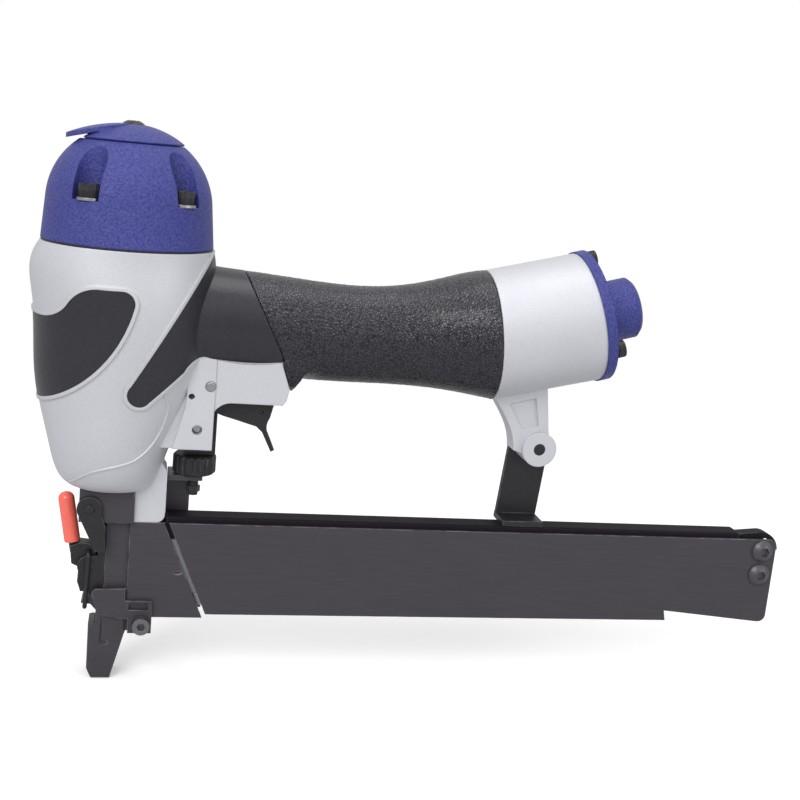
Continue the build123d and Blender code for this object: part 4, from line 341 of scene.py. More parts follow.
# Black oxide on the fixed rail: dark on top, rubbed bright by the cover that slides on its sides
RUBBED_SHEET = replace(BLACK_STEEL, name="black_oxide_sheet_rubbed_bright", body_hex="#211a22",
                       rub_and_glint_hex="#86868a", roughness=0.6, shine=0.08, bare_below_mm=60.0)
# Matt black oxide on the tail: dark even where the light grazes it
DULL_STEEL = replace(BLACK_STEEL, name="matt_black_oxide_milled_steel", roughness=0.55, shine=0.12)
# Black oxide alloy steel of screws and pins: a little glossier than the sheet
BLACK_SCREW = Finish("black_oxide_alloy_steel", "#2a282c", "#242226", "#1d1c1f", "#9a989c",
                     roughness=0.32, grain_mm=0.5, relief_mm=0.008, rub_and_glint=0.6, metallic=0.1, edge_mm=0.25)
# Phosphated steel of the lug's screw: grey and matt
PHOSPHATE = replace(BLACK_SCREW, name="grey_phosphated_steel", body_hex="#77757a", mottle_hex="#6a686d",
                    crease_shade_hex="#56545a", metallic=0.5, roughness=0.4)
# Darker phosphate of the tail's button heads
DARK_PHOSPHATE = replace(PHOSPHATE, name="dark_phosphated_steel", body_hex="#5c5a60", mottle_hex="#525056",
                         crease_shade_hex="#434147")
# Bare drawn or turned steel: washers, rods, springs and pins
STEEL = Finish("bare_drawn_steel", "#b5b5b8", "#a9a9ad", "#97979b", "#cfcfd1", roughness=0.3,
               grain_mm=0.6, relief_mm=0.006, metallic=1.0, rough_spread=0.06, edge_mm=0.2)
# Turned aluminium of the drive unit and the inlet's thread
ALLOY = Finish("turned_aluminium", "#c8c8cb", "#bdbdc1", "#aaaaae", "#dcdcde", roughness=0.32,
               grain_mm=0.6, relief_mm=0.006, metallic=1.0, edge_mm=0.3)
# Dipped red vinyl: thick, glossy and slightly uneven
RED = Finish("dipped_red_vinyl", "#fd6a5b", "#fe7868", "#ee5b4d", "#f9a39a", roughness=0.24,
             grain_mm=3.0, relief_mm=0.05, rub_and_glint=0.1, rough_spread=0.04, coat=0.3, edge_mm=0.6)
# Moulded nylon of the valve parts
NYLON = Finish("moulded_black_nylon", "#2e2d31", "#353438", "#262529", "#4a494d", roughness=0.5,
               grain_mm=0.9, relief_mm=0.015, rough_spread=0.06, edge_mm=0.3)
# Nitrile rubber of seals and the bumper
NITRILE = Finish("nitrile_rubber", "#242327", "#2b2a2e", "#1e1d20", "#38373b", roughness=0.55,
                 grain_mm=1.0, relief_mm=0.015, rub_and_glint=0.1, edge_mm=0.2)

SLOT_FINISH: dict[str, Finish] = {
    "silver": SILVER, "blue": BLUE, "rubber": RUBBER, "grain_rubber": GRAINED,
    "black_steel": BLACK_STEEL, "black_screw": BLACK_SCREW, "steel": STEEL, "alloy": ALLOY,
    "red": RED, "plastic": NYLON, "seal": NITRILE,
}
# Nodes whose finish differs from their slot's
NODE_FINISH: dict[str, Finish] = {
    "magazine_cover": BLACK_SHEET, "magazine_rail": RUBBED_SHEET, "side_plates": BLACK_SHEET,
    "nose_body": BLACK_SHEET, "contact_foot": BLACK_SHEET, "lug_screw": PHOSPHATE,
    "tail_screws": DARK_PHOSPHATE, "tail_block": DULL_STEEL, "rear_catch": DULL_STEEL,
}


class Wardrobe:
    """Builds each finish once and dresses pieces with it."""

    def __init__(self) -> None:
        """Start with no materials made."""
        self.made: dict[str, Material] = {}
        self.slots = {part["node"]: part["material_slot"] for part in frame["record"]["subparts"]}

    def material(self, finish: Finish) -> Material:
        """Give the material of a finish.

        Args:
            finish: The finish.

        Returns:
            Its material, built at its first use.
        """
        if finish.name not in self.made:
            self.made[finish.name] = finish.material()
        return self.made[finish.name]

    def get(self, slot: str) -> Material:
        """Give the material of one of the record's slots."""
        return self.material(SLOT_FINISH[slot])

    def dress(self, name: str) -> None:
        """Dress one CAD node.

        Args:
            name: Node name.
        """
        finish = NODE_FINISH.get(name, SLOT_FINISH[self.slots[name]])
        for holder in frame["nodes"][name].material_slots:
            holder.material = self.material(finish)
        LOG.info("dressed %s in %s", name, finish.name)


class ShapeTree:
    """A geometry tree with named inputs, run on an object and turned into a plain mesh."""

    def __init__(self, name: str, inputs: dict[str, str]) -> None:
        """Make the tree and its sockets.

        Args:
            name: Tree name.
            inputs: Input names to their kinds, such as Float.
        """
        self.tree = bpy.data.node_groups.new(name, "GeometryNodeTree")
        face = self.tree.interface
        face.new_socket("Geometry", in_out="OUTPUT", socket_type="NodeSocketGeometry")
        face.new_socket("Geometry", in_out="INPUT", socket_type="NodeSocketGeometry")
        sockets = {key: "NodeSocket" + kind for key, kind in (inputs | {"Material": "Material"}).items()}
        self.keys = {key: face.new_socket(key, in_out="INPUT", socket_type=kind).identifier
                     for key, kind in sockets.items()}
        self.given = self.tree.nodes.new("NodeGroupInput").outputs

    def add(self, kind: str, values: dict | None = None) -> Node:
        """Add a geometry node, as add_node does, by its type without GeometryNode."""
        return add_node(self.tree, "GeometryNode" + kind, values)

    def close(self, shape: Node) -> None:
        """End the tree with real geometry in its material.

        Args:
            shape: Node with the geometry to hand out.
        """
        real = self.add("RealizeInstances", {"Geometry": shape})
        smooth = self.add("SetShadeSmooth", {"Geometry": real})
        dressed = self.add("SetMaterial", {"Geometry": smooth, "Material": self.given["Material"]})
        add_node(self.tree, "NodeGroupOutput", {0: dressed})

    def run(self, base: Object, values: dict) -> Mesh:
        """Run the tree on an object and read the result.

        Args:
            base: Object that carries the modifier for the run.
            values: Input names to values.

        Returns:
            The result as a plain mesh.
        """
        modifier = base.modifiers.new("shape", "NODES")
        modifier.node_group = self.tree
        for key, value in values.items():
            modifier[self.keys[key]] = value
        graph = bpy.context.evaluated_depsgraph_get()
        mesh = bpy.data.meshes.new_from_object(base.evaluated_get(graph))
        base.modifiers.remove(modifier)
        return mesh


def coil_tree() -> ShapeTree:
    """Build the tree for springs and threads: a wire wound up the Z axis.

    Returns:
        The tree.
    """
    made = ShapeTree("wound_wire", {"Radius": "Float", "Wire": "Float", "Turns": "Float", "Length": "Float",
                                    "Steps": "Int"})
    given = made.given
    path = made.add("CurveSpiral", {"Resolution": given["Steps"], "Rotations": given["Turns"],
                                    "Start Radius": given["Radius"], "End Radius": given["Radius"],
                                    "Height": given["Length"]})
    half = calculate(made.tree, "MULTIPLY", given["Wire"], 0.5)
    ring = made.add("CurvePrimitiveCircle", {"Resolution": WIRE_SIDES, "Radius": half})
    made.close(made.add("CurveToMesh", {"Fill Caps": True, "Curve": path, "Profile Curve": ring}))
    return made


def knurl_tree() -> ShapeTree:
    """Build the tree for knurled screw heads: straight ridges around the Z axis.

    Returns:
        The tree.
    """
    made = ShapeTree("knurl_ridges", {"Radius": "Float", "Height": "Float", "Ridge": "Float",
                                      "Count": "Int"})
    given = made.given
    row = made.add("MeshLine", {"Count": given["Count"]})
    step = calculate(made.tree, "DIVIDE", 2 * math.pi, given["Count"])
    turn = calculate(made.tree, "MULTIPLY", made.add("InputIndex"), step)
    spoke = add_node(made.tree, "ShaderNodeCombineXYZ", {"X": calculate(made.tree, "COSINE", turn),
                                                         "Y": calculate(made.tree, "SINE", turn)})
    reach = add_node(made.tree, "ShaderNodeVectorMath",
                     {"operation": "SCALE", 0: spoke, "Scale": given["Radius"]})
    placed = made.add("SetPosition", {"Geometry": row, "Position": reach})
    ridge = made.add("MeshCylinder", {"Vertices": RIDGE_SIDES, "Radius": given["Ridge"],
                                      "Depth": given["Height"]})
    made.close(made.add("InstanceOnPoints", {"Points": placed, "Instance": ridge}))
    return made


def pebble_tree() -> ShapeTree:
    """Build the tree for the grip's leather grain: creases pressed into a fine mesh.

    Returns:
        The tree.
    """
    made = ShapeTree("pebbled_skin", {"Pebble Size": "Float", "Crease Depth": "Float", "Seed": "Float"})
    given = made.given
    scale = calculate(made.tree, "DIVIDE", 1.0, given["Pebble Size"])
    cells = add_node(made.tree, "ShaderNodeTexVoronoi",
                     {"voronoi_dimensions": "4D", "feature": "DISTANCE_TO_EDGE",
                      "Vector": made.add("InputPosition"), "W": given["Seed"], "Scale": scale})
    crease = ramp(made.tree, cells.outputs["Distance"], (0.0, CREASE_SLOPE), (-1.0, 0.0), smooth=True)
    depth = calculate(made.tree, "MULTIPLY", crease, given["Crease Depth"])
    push = add_node(made.tree, "ShaderNodeVectorMath",
                    {"operation": "SCALE", 0: made.add("InputNormal"), "Scale": depth})
    made.close(made.add("SetPosition", {"Geometry": given["Geometry"], "Offset": push}))
    return made


def bead_tree() -> ShapeTree:
    """Build the tree for a raised bead: a course laid onto a surface and swept with a round section.

    Returns:
        The tree.
    """
    made = ShapeTree("raised_bead", {"Surface": "Object", "Aim": "Vector", "Radius": "Float",
                                     "Steps": "Int"})
    given = made.given
    line = made.add("MeshToCurve", {"Mesh": given["Geometry"]})
    soft = made.add("CurveSplineType", {"spline_type": "CATMULL_ROM", "Curve": line})
    even = made.add("ResampleCurve", {"Curve": soft, "Count": given["Steps"]})
    surface = made.add("ObjectInfo", {"Object": given["Surface"]}).outputs["Geometry"]
    hit = made.add("Raycast", {"Target Geometry": surface, "Ray Direction": given["Aim"]})
    laid = made.add("SetPosition", {"Geometry": even, "Position": hit.outputs["Hit Position"]})
    ring = made.add("CurvePrimitiveCircle", {"Resolution": BEAD_SIDES, "Radius": given["Radius"]})
    made.close(made.add("CurveToMesh", {"Fill Caps": True, "Curve": laid, "Profile Curve": ring}))
    return made


def plain_object(name: str, mesh: Mesh) -> Object:
    """Link a mesh into the scene as an object at the origin.

    Args:
        name: Object name.
        mesh: Its mesh.

    Returns:
        The object.
    """
    made = bpy.data.objects.new(name, mesh)
    bpy.context.scene.collection.objects.link(made)
    return made


def joined(name: str, meshes: list[Mesh]) -> Object:
    """Join several meshes of one material into one object.

    Args:
        name: Object name.
        meshes: Meshes already in their places.

    Returns:
        The joined object.
    """
    whole = bmesh.new()
    for mesh in meshes:
        whole.from_mesh(mesh)
    result = bpy.data.meshes.new(name)
    whole.to_mesh(result)
    whole.free()
    for material in meshes[0].materials:
        result.materials.append(material)
    return plain_object(name, result)


def welded(node: str) -> bmesh.types.BMesh:
    """Give a CAD node's mesh with its doubled vertices welded.

    Args:
        node: CAD node.

    Returns:
        The mesh, to be freed after use.
    """
    shape = bmesh.new()
    shape.from_mesh(frame["nodes"][node].data)
    bmesh.ops.remove_doubles(shape, verts=shape.verts, dist=WELD_DISTANCE)
    return shape


def upright(base: Vector, axis: Vector) -> Matrix:
    """Give the matrix that puts the Z axis along an axis from a base point."""
    return Matrix.Translation(base) @ axis.to_track_quat("Z", "Y").to_matrix().to_4x4()


def part_way(value: float, start: float, end: float) -> float:
    """Give how far a value is from start to end, 0 to 1."""
    return min(1.0, max(0.0, (value - start) / (end - start)))


@dataclass(frozen=True)
class Spring:
    """A coil spring on a body, in place of a CAD node."""

    node: str
    body: str
    axis: Axis
    wire_mm: float
    turns: float
    joint: str
    travel_mm: float


@dataclass
class Winder:
    """Winds springs, and the threads that show."""

    wardrobe: Wardrobe
    tree: ShapeTree = field(default_factory=coil_tree)
    # Points in each turn, and the thickness of a thread's crest as a share of its pitch
    steps: int = 24
    crest: float = 0.5

    def wind(self, name: str, base: Vector, axis: Vector, radius: float, wire: float, turns: float,
             length: float, slot: str) -> Object:
        """Wind one wire.

        Args:
            name: Object name.
            base: Where the wire's axis starts, in metres.
            axis: Direction it is wound along.
            radius: Radius of the wire's centre line.
            wire: Wire diameter.
            turns: Number of turns.
            length: Length along the axis, between the ends' centres.
            slot: Material slot of the finish.

        Returns:
            The wound object.
        """
        carrier = plain_object(name, bpy.data.meshes.new(name))
        mesh = self.tree.run(carrier, {"Radius": radius, "Wire": wire, "Turns": turns, "Length": length,
                                       "Steps": self.steps, "Material": self.wardrobe.get(slot)})
        mesh.transform(upright(base, axis))
        carrier.data = mesh
        LOG.info("wound %s with %.1f turns", name, turns)
        return carrier

    def coil(self, spring: Spring) -> None:
        """Replace a spring node with a wound spring on the spring's body.

        Args:
            spring: The spring to wind.
        """
        low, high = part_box(spring.node)
        wire = spring.wire_mm * MM
        length = high[spring.axis] - low[spring.axis]
        across = (spring.axis + 1) % 3
        radius = (high[across] - low[across]) / 2 - wire / 2
        base = (Vector(low) + Vector(high)) / 2
        anchor = base.copy()
        base[spring.axis] = low[spring.axis] + wire / 2
        anchor[spring.axis] = high[spring.axis]
        along = Vector([1.0 if i == spring.axis else 0.0 for i in range(3)])
        made = self.wind("wound_" + spring.node, base, along, radius, wire, spring.turns, length - wire,
                         "steel")
        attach(made, spring.body)
        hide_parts(spring.node)
        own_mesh(made)

    def thread(self, name: str, body: str, base: Vector, axis: Vector, radius_mm: float, pitch_mm: float,
               length_mm: float, slot: str) -> None:
        """Wind a thread's crest along a stud or a bore.

        Args:
            name: Object name.
            body: Body it rides on.
            base: Where the thread starts, in metres.
            axis: Direction it runs in.
            radius_mm: Radius of the stud or bore.
            pitch_mm: Thread pitch.
            length_mm: Threaded length.
            slot: Material slot of the finish.
        """
        made = self.wind(name, base, axis, radius_mm * MM, pitch_mm * MM * self.crest, length_mm / pitch_mm,
                         length_mm * MM, slot)
        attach(made, body)


@dataclass
class Knurler:
    """Knurls the heads of socket head screws."""

    wardrobe: Wardrobe
    # Radius of a ridge, how deep its centre is, how many stand around a head, and the rim left bare
    ridge_mm: float = 0.16
    sink_mm: float = 0.05
    count: int = 36
    bare_mm: float = 0.5
    tree: ShapeTree = field(default_factory=knurl_tree)
    # Share of the widest radius from which a vertex counts as the head's rim
    rim: float = 0.97
    # Direction that the search for a screw's axis starts from, square to none, and its rounds
    guess: tuple[float, float, float] = (0.31, 0.57, 0.76)
    rounds: int = 80

    def heads(self, node: str) -> list[tuple[Vector, Vector, float, float]]:
        """Find the heads of a screw node by its loose shells.

        Args:
            node: Screw node.

        Returns:
            Centre of each head's seat, direction out of it, radius and height.
        """
        shape = welded(node)
        left = set(shape.verts)
        found = []
        while left:
            island = set()
            queue = [left.pop()]
            while queue:
                vert = queue.pop()
                island.add(vert)
                for edge in vert.link_edges:
                    other = edge.other_vert(vert)
                    if other in left:
                        left.remove(other)
                        queue.append(other)
            found.append([v.co.copy() for v in island])
        shape.free()
        return [self.measure(points) for points in found]

    def measure(self, points: list[Vector]) -> tuple[Vector, Vector, float, float]:
        """Measure one screw: the direction it spreads most in is its axis, the widest ring its head.

        Args:
            points: Vertices of the screw.

        Returns:
            Centre of the head's seat, direction out of it, radius and height.
        """
        middle = sum(points, Vector()) / len(points)
        spread = Matrix(((0.0,) * 3,) * 3)
        for point in points:
            arm = point - middle
            for i in range(3):
                for j in range(3):
                    spread[i][j] += arm[i] * arm[j]
        axis = Vector(self.guess)
        for _ in range(self.rounds):
            axis = (spread @ axis).normalized()
        heights = [(p - middle).dot(axis) for p in points]
        radii = [((p - middle) - axis * h).length for p, h in zip(points, heights)]
        widest = max(radii)
        ring = [h for h, r in zip(heights, radii) if r > self.rim * widest]
        low, high = min(ring), max(ring)
        if abs(max(heights) - high) > abs(low - min(heights)):
            axis, low, high = -axis, -high, -low
        return middle + axis * low, axis, widest, high - low

    def knurl(self, node: str) -> None:
        """Knurl every head of one screw node on the tool body.

        Args:
            node: Screw node.
        """
        meshes = []
        for seat, axis, radius, height in self.heads(node):
            carrier = plain_object("knurl_carrier", bpy.data.meshes.new("knurl_carrier"))
            mesh = self.tree.run(carrier, {"Radius": radius - self.sink_mm * MM,
                                           "Height": height - self.bare_mm * MM,
                                           "Ridge": self.ridge_mm * MM, "Count": self.count,
                                           "Material": self.wardrobe.get("black_screw")})
            bpy.data.objects.remove(carrier)
            mesh.transform(upright(seat + axis * height / 2, axis))
            meshes.append(mesh)
        knurl = joined(node + "_knurl", meshes)
        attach(knurl, "tool")
        LOG.info("knurled %s: %d heads", node, len(meshes))


@dataclass
class SubAssembly:
    """A group of CAD nodes that is dressed and given its springs and knurled screw heads together."""

    wardrobe: Wardrobe
    winder: Winder
    knurler: Knurler
    nodes: Names = ()
    springs: tuple[Spring, ...] = ()
    knurled: Names = ()

    def dress(self) -> None:
        """Put the right finish on each CAD node of the group."""
        for name in self.nodes:
            self.wardrobe.dress(name)

    def build(self) -> None:
        """Wind the group's springs and knurl its screw heads."""
        for spring in self.springs:
            self.winder.coil(spring)
        for node in self.knurled:
            self.knurler.knurl(node)


@dataclass
class Casting(SubAssembly):
    """The silver casting with its two rubber inlays and the bead around the foot of its head."""

    nodes: Names = ("housing", "front_pad", "rear_pad")
    # Course of the bead along each side, x and z in mm, from the front up to the rear inlay
    course_mm: tuple[Pair, ...] = (
        (-18.0, 84.4), (-11.3, 90.1), (-6.0, 92.6), (1.2, 94.7), (6.4, 96.6),
        (11.0, 100.3), (14.5, 105.3), (17.3, 112.2), (18.3, 118.8), (16.6, 123.6))
    # How far out on each side the course starts, before it is laid onto the casting
    clear_mm: float = 80.0
    bead_mm: float = 1.1
    steps: int = 90

    def build(self) -> None:
        """Lay the bead onto both sides of the head."""
        tree = bead_tree()
        meshes = []
        for side in (-1, 1):
            points = [(x * MM, side * self.clear_mm * MM, z * MM) for x, z in self.course_mm]
            course = bpy.data.meshes.new("bead_course")
            course.from_pydata(points, [(i, i + 1) for i in range(len(points) - 1)], [])
            carrier = plain_object("bead_carrier", course)
            meshes.append(tree.run(carrier, {"Surface": frame["nodes"]["housing"], "Aim": (0.0, -side, 0.0),
                                             "Radius": self.bead_mm * MM / 2, "Steps": self.steps,
                                             "Material": self.wardrobe.get("silver")}))
            bpy.data.objects.remove(carrier)
        bead = joined("head_bead", meshes)
        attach(bead, "tool")
        LOG.info("laid the head's bead")


@dataclass
class Grip(SubAssembly):
    """The rubber sleeve on the handle, with its leather grain in the mesh."""

    nodes: Names = ("grip_sleeve",)
    voxel_mm: float = 0.6
    pebble_mm: float = 1.8
    crease_mm: float = 0.12
    seed: float = 4.0
    # Height in mm, and half width there of the side that runs down into the lip
    side_mm: tuple[Pair, ...] = (
        (124.0, 6.0), (127.0, 10.4), (130.0, 13.2), (134.0, 15.2), (138.0, 16.2), (142.0, 17.1),
        (150.0, 17.8))
    # Places along x where the side starts to widen, is full, starts to narrow and is plain again
    drape_mm: tuple[float, float, float, float] = (58.0, 64.0, 71.6, 78.0)
    # Sleeve's front face behind the trigger bracket, and the bracket's slanted rear edge as x and z
    front_mm: float = 65.3
    edge_mm: tuple[Pair, Pair] = ((61.9, 137.0), (65.3, 126.5))
    # Depth behind the front face that is drawn on to that edge, and the height that it stays below
    reach_mm: float = 3.0
    top_mm: float = 138.3
    # Height of the lip's flat top, and the half width at which it leaves the sleeve
    shelf_mm: float = 134.0
    shelf_in_mm: float = 11.0
    # Heights between which the widening fades out towards the sleeve's underside
    belly_mm: Pair = (130.0, 134.0)
    # Depth of the outer skin, which moves out as one
    skin_mm: float = 1.0
    # How far out the plain side is measured from, and how far behind the front face at least
    clear_mm: float = 80.0
    inset_mm: float = 0.4

    def side(self, height: float) -> float:
        """Give the half width of the side at a height.

        Args:
            height: Height in mm.

        Returns:
            Half width in mm, or 0 beyond the heights that are given.
        """
        for (low, near), (high, far) in zip(self.side_mm, self.side_mm[1:]):
            if low <= height <= high:
                return near + (far - near) * part_way(height, low, high)
        return 0.0

    def widened(self, point: Vector, plain: BVHTree) -> float:
        """Give the y that a point has when the side runs down into the lip.

        Args:
            point: Point of the pebbled sleeve, in mm.
            plain: Sleeve as the CAD has it, to measure from.

        Returns:
            Its new y, in mm.
        """
        x, y, z = point
        start, full, narrow, end = self.drape_mm
        sign = math.copysign(1.0, y)
        probe = x if z > self.top_mm else max(x, self.front_mm + self.inset_mm)
        hit = plain.ray_cast(Vector((probe, sign * self.clear_mm, z)) * MM, Vector((0.0, -sign, 0.0)))[0]
        if hit is None or hit.y * sign <= 0:
            return y
        width = abs(hit.y) / MM
        share = min(part_way(x, start, full), part_way(x, end, narrow))
        if width < self.side(z):
            share *= part_way(z, *self.belly_mm)
        wanted = width + (self.side(z) - width) * share
        moved = abs(y) * wanted / width
        if wanted > width:
            moved = abs(y) + (wanted - width if abs(y) > width - self.skin_mm else 0.0)
        if x < narrow and abs(z - self.shelf_mm) < self.skin_mm and abs(y) > self.shelf_in_mm:
            moved = wanted
        return sign * min(moved, wanted + self.crease_mm)

    def drawn_on(self, point: Vector) -> float:
        """Give the x that a point has when the front follows the trigger bracket's edge.

        Args:
            point: Point of the pebbled sleeve, in mm.

        Returns:
            Its new x, in mm.
        """
        x, _, z = point
        behind = self.front_mm + self.reach_mm
        if z >= self.top_mm or x >= behind:
            return x
        (top_x, top), (low_x, low) = self.edge_mm
        edge = low_x + (top_x - low_x) * (z - low) / (top - low)
        return max(x - max(0.0, self.front_mm - edge) * part_way(x, behind, self.front_mm), edge)

    def drape(self, mesh: Mesh, plain: BVHTree) -> None:
        """Carry the side down into the lip, and the front on to the trigger bracket.

        Args:
            mesh: Pebbled sleeve, changed in place.
            plain: Sleeve as the CAD has it, to measure from.
        """
        lowest = self.side_mm[0][0]
        highest = self.side_mm[-1][0]
        for vertex in mesh.vertices:
            point = vertex.co / MM
            if self.drape_mm[0] < point.x < self.drape_mm[-1] and lowest < point.z < highest:
                vertex.co = Vector((self.drawn_on(point), self.widened(point, plain), point.z)) * MM
        mesh.update()

    def build(self) -> None:
        """Replace the plain sleeve with a finely meshed, pebbled one."""
        shape = welded(self.nodes[0])
        mesh = bpy.data.meshes.new("pebbled_grip")
        shape.to_mesh(mesh)
        plain = BVHTree.FromBMesh(shape)
        shape.free()
        sleeve = plain_object("pebbled_grip", mesh)
        remesh = sleeve.modifiers.new("fine", "REMESH")
        remesh.mode = "VOXEL"
        remesh.voxel_size = self.voxel_mm * MM
        sleeve.data = pebble_tree().run(sleeve, {"Pebble Size": self.pebble_mm * MM,
                                                 "Crease Depth": self.crease_mm * MM, "Seed": self.seed,
                                                 "Material": self.wardrobe.get("grain_rubber")})
        sleeve.modifiers.clear()
        self.drape(sleeve.data, plain)
        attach(sleeve, "tool")
        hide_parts(self.nodes[0])
        LOG.info("grip: %d faces", len(sleeve.data.polygons))


@dataclass
class Cap(SubAssembly):
    """The blue cylinder cap with its bolts and the turning exhaust deflector."""

    nodes: Names = ("cylinder_cap", "cap_gasket", "cap_bolts", "cap_washers", "exhaust_deflector",
                    "deflector_screw")
    knurled: Names = ("cap_bolts",)


@dataclass
class DriveUnit(SubAssembly):
    """Piston, blade, sleeve, bumper and firing valve inside the head."""

    nodes: Names = ("cylinder_sleeve", "piston", "piston_seal", "driver_blade", "bumper",
                    "head_valve", "head_valve_spring")
    springs: tuple[Spring, ...] = (Spring("head_valve_spring", "tool", Axis.Z, wire_mm=2.0, turns=3,
                                          joint="firing_valve_lift", travel_mm=3),)


@dataclass
class InletEnd(SubAssembly):
    """The blue end cap with the threaded air inlet."""

    nodes: Names = ("end_cap", "end_cap_seal", "end_cap_screws", "inlet_screen")
    knurled: Names = ("end_cap_screws",)
    # Thread of the inlet: its pitch, how far inside the mount's place it starts and its length
    pitch_mm: float = 1.41
    inside_mm: float = 8.0
    threaded_mm: float = 18.0

    def build(self) -> None:
        """Knurl the screw heads and wind the inlet's thread."""
        super().build()
        mount = next(m for m in frame["record"]["mounts"] if m["name"] == "air_inlet")
        axis = Vector(mount["axis"])
        base = Vector(mount["pos_m"]) - axis * self.inside_mm * MM
        self.winder.thread("inlet_thread", "tool", base, axis, mount["dims"]["r_mm"], self.pitch_mm,
                           self.threaded_mm, "alloy")


@dataclass
class TriggerGroup(SubAssembly):
    """Trigger, safety link and trigger valve."""

    nodes: Names = ("trigger", "trigger_pin", "trigger_link", "link_pin", "trigger_spring",
                    "valve_body", "valve_seals", "valve_stem", "valve_spring")
    springs: tuple[Spring, ...] = (Spring("valve_spring", "tool", Axis.Z, wire_mm=0.8, turns=5,
                                          joint="valve_stem_lift", travel_mm=2.3),)


@dataclass
class Safety(SubAssembly):
    """Contact foot, depth knob on its stud, upper strip and spring."""

    nodes: Names = ("contact_foot", "safety_stud", "stud_nut", "depth_knob", "upper_safety",
                    "spring_pin", "safety_spring")
    springs: tuple[Spring, ...] = (Spring("safety_spring", "tool", Axis.Z, wire_mm=0.9, turns=4.5,
                                          joint="safety_lift", travel_mm=5),)
    pitch_mm: float = 0.7

    def build(self) -> None:
        """Wind the spring and the stud's thread, which stops a pitch short of both ends."""
        super().build()
        low, high = (Vector(corner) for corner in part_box("safety_stud"))
        base = Vector(((low.x + high.x) / 2, (low.y + high.y) / 2, low.z + self.pitch_mm * MM))
        self.winder.thread("stud_thread", "safety", base, Vector((0, 0, 1)), (high.x - low.x) / 2 / MM,
                           self.pitch_mm, (high.z - low.z) / MM - 2 * self.pitch_mm, "black_screw")


@dataclass
class Nose(SubAssembly):
    """Nose body, side plates, front door and its latch."""

    nodes: Names = ("nose_body", "lug_screw", "side_plates", "front_door", "door_hinge_pin",
                    "latch_lever", "latch_tip", "latch_pin", "latch_bail")
    knurled: Names = ("lug_screw",)


@dataclass
class Magazine(SubAssembly):
    """Rail, sliding cover with its core, pusher and rear catch."""

    nodes: Names = ("magazine_rail", "magazine_cover", "core_rail", "pusher", "spring_rod",
                    "pusher_spring", "tail_block", "tail_screws", "rear_catch", "catch_pin")
    springs: tuple[Spring, ...] = (Spring("pusher_spring", "magazine_cover", Axis.X, wire_mm=0.7, turns=60,
                                          joint="pusher_slide", travel_mm=190),)


@dataclass
class Support(SubAssembly):
    """Strap from the handle's arm down to the magazine, with its screw."""

    nodes: Names = ("support_strap", "strap_screw")
    knurled: Names = ("strap_screw",)


@dataclass(frozen=True)
class Lamp:
    """A square soft box: its place and side in metres, its power in watts."""

    name: str
    place: tuple[float, float, float]
    side: float
    watts: float


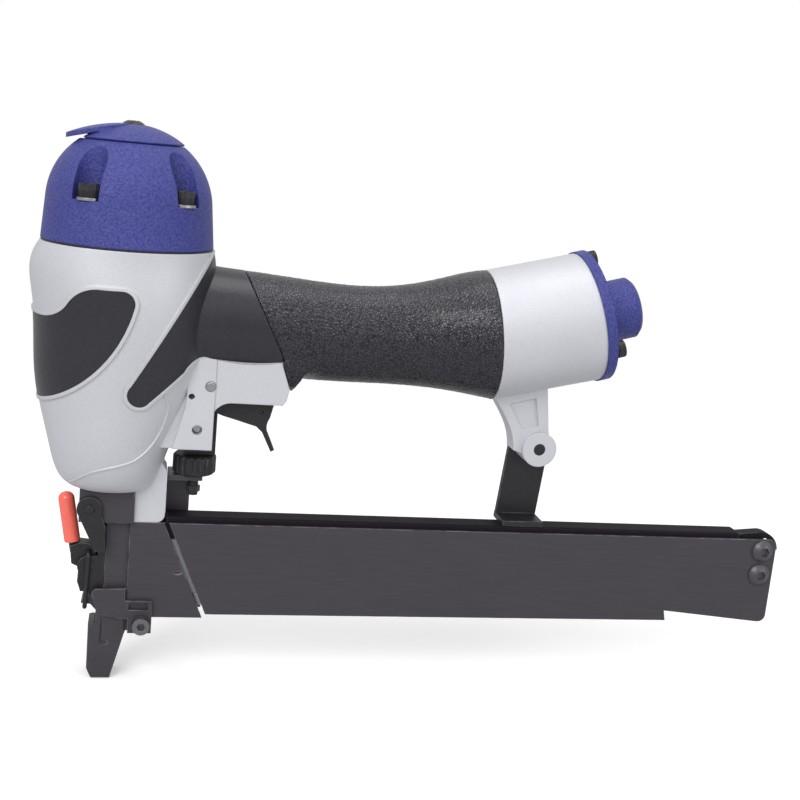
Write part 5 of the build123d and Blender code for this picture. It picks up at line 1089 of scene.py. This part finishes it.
@dataclass
class Studio:
    """Pale floor, soft light and the camera at the photograph's angle."""

    azimuth_deg: float = -12.30
    elevation_deg: float = 11.61
    roll_deg: float = 5.44
    distance: float = 0.50073
    target: tuple[float, float, float] = (0.11341, 0.0, 0.12169)
    lens_mm: float = 54.0
    sensor_mm: float = 36.0
    clip_start: float = 0.01
    # Strength of the room's light, and how bright its sides are where they are mirrored
    ambient: float = 0.5
    side_shine: float = 0.14
    # Upward part of the direction where the mirrored ceiling starts and where it is full
    ceiling: Pair = (0.05, 0.75)
    # Paper floor: its size, the gap below the tool and the distances over which it fades out
    floor_radius: float = 1.6
    floor_sides: int = 96
    floor_gap: float = 0.0005
    fade: Pair = (0.35, 0.8)
    # Paper's two tones to the camera, its tone to all else, size of its fibres and its glow
    paper_hex: tuple[str, str] = ("#f6f6f6", "#fbfbfb")
    bounce_hex: str = "#d4d4d4"
    fibre_mm: float = 1.5
    paper_lift: float = 0.3
    lamps: tuple[Lamp, ...] = (Lamp("key_softbox", (-0.55, -1.05, 0.95), side=0.8, watts=12.5),
                               Lamp("top_softbox", (0.25, -0.1, 1.5), side=0.8, watts=5.5),
                               Lamp("fill_softbox", (1.1, -0.9, 0.5), side=0.9, watts=3.5))

    def camera(self) -> None:
        """Place the camera."""
        turn, rise, roll = (math.radians(v) for v in (self.azimuth_deg, self.elevation_deg, self.roll_deg))
        back = Vector((math.sin(turn) * math.cos(rise), -math.cos(turn) * math.cos(rise), math.sin(rise)))
        level = Vector((0, 0, 1)).cross(back).normalized()
        upward = back.cross(level)
        right = level * math.cos(roll) + upward * math.sin(roll)
        top = upward * math.cos(roll) - level * math.sin(roll)
        data = bpy.data.cameras.new("photo_camera")
        data.lens = self.lens_mm
        data.sensor_width = self.sensor_mm
        data.clip_start = self.clip_start
        camera = bpy.data.objects.new("photo_camera", data)
        camera.matrix_world = (Matrix.Translation(Vector(self.target) + back * self.distance)
                               @ Matrix((right, top, back)).transposed().to_4x4())
        bpy.context.scene.collection.objects.link(camera)
        bpy.context.scene.camera = camera

    def world(self) -> None:
        """Set white behind the object, and an even pale light around it."""
        world = bpy.data.worlds.new("pale_room")
        tree = blank_tree(world)
        rays = add_node(tree, "ShaderNodeLightPath").outputs
        seen = calculate(tree, "MAXIMUM", rays["Is Camera Ray"], rays["Is Transmission Ray"])
        # What shines back: a bright ceiling that falls off to a dim room at the sides
        around = add_node(tree, "ShaderNodeTexCoord").outputs["Generated"]
        upward = add_node(tree, "ShaderNodeSeparateXYZ", {"Vector": around}).outputs["Z"]
        mirrored = ramp(tree, upward, self.ceiling, (self.side_shine, 1.0), smooth=True)
        glossy = calculate(tree, "MULTIPLY", rays["Is Glossy Ray"], mirrored)
        strength = ramp(tree, calculate(tree, "MAXIMUM", seen, glossy), target=(self.ambient, 1.0))
        sky = add_node(tree, "ShaderNodeBackground", {"Color": linear(WHITE), "Strength": strength})
        add_node(tree, "ShaderNodeOutputWorld", {"Surface": sky})
        bpy.context.scene.world = world

    def hang(self, lamp: Lamp) -> None:
        """Hang one soft box that faces the tool.

        Args:
            lamp: The soft box.
        """
        data = bpy.data.lights.new(lamp.name, "AREA")
        data.size = lamp.side
        data.energy = lamp.watts
        hung = bpy.data.objects.new(lamp.name, data)
        hung.location = lamp.place
        hung.rotation_mode = "QUATERNION"
        hung.rotation_quaternion = (Vector(self.target) - Vector(lamp.place)).to_track_quat("-Z", "Y")
        bpy.context.scene.collection.objects.link(hung)

    def paper(self) -> Material:
        """Build the floor's paper, which fades out away from the tool.

        Returns:
            The material.
        """
        made = bpy.data.materials.new("pale_paper")
        tree = blank_tree(made)
        place = add_node(tree, "ShaderNodeTexCoord").outputs["Object"]
        away = add_node(tree, "ShaderNodeVectorMath",
                        {"operation": "DISTANCE", 0: place, 1: (self.target[0], 0, 0)})
        faded = ramp(tree, away.outputs["Value"], self.fade, smooth=True)
        tone = mix_colours(tree, noise(tree, place, self.fibre_mm), *self.paper_hex)
        # The camera sees the paper lifted to white, with the tool's shadow kept; less light bounces up
        camera = add_node(tree, "ShaderNodeLightPath").outputs["Is Camera Ray"]
        shown = mix_colours(tree, camera, self.bounce_hex, tone)
        sheet = add_node(tree, "ShaderNodeBsdfDiffuse", {"Color": shown})
        lift = calculate(tree, "MULTIPLY", camera, self.paper_lift)
        glow = add_node(tree, "ShaderNodeEmission", {"Color": linear(WHITE), "Strength": lift})
        bright = add_node(tree, "ShaderNodeAddShader", {0: sheet, 1: glow})
        gone = add_node(tree, "ShaderNodeBsdfTransparent")
        mixed = add_node(tree, "ShaderNodeMixShader", {0: faded, 1: bright, 2: gone})
        add_node(tree, "ShaderNodeOutputMaterial", {"Surface": mixed})
        return made

    def floor(self) -> None:
        """Lay a pale round floor just below the tool."""
        disc = bmesh.new()
        bmesh.ops.create_circle(disc, cap_ends=True, segments=self.floor_sides, radius=self.floor_radius)
        bmesh.ops.translate(disc, verts=disc.verts,
                            vec=(self.target[0], 0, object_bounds()[0].z - self.floor_gap))
        mesh = bpy.data.meshes.new("pale_floor")
        disc.to_mesh(mesh)
        disc.free()
        mesh.materials.append(self.paper())
        plain_object("pale_floor", mesh)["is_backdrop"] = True

    def build(self) -> None:
        """Set up the whole studio."""
        bpy.context.scene.view_settings.view_transform = "Standard"
        self.camera()
        self.world()
        for lamp in self.lamps:
            self.hang(lamp)
        self.floor()
        LOG.info("studio ready")


def main() -> None:
    """Build the looks in order."""
    logging.basicConfig(level=logging.INFO, format="%(name)s: %(message)s")
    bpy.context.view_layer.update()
    wardrobe = Wardrobe()
    winder = Winder(wardrobe)
    knurler = Knurler(wardrobe)
    for group in (Casting, Grip, Cap, DriveUnit, InletEnd, TriggerGroup, Safety, Nose, Magazine, Support):
        made = group(wardrobe, winder, knurler)
        made.dress()
        made.build()
        LOG.info("%s done", group.__name__)
    Studio().build()


if __name__ == "__main__":
    main()
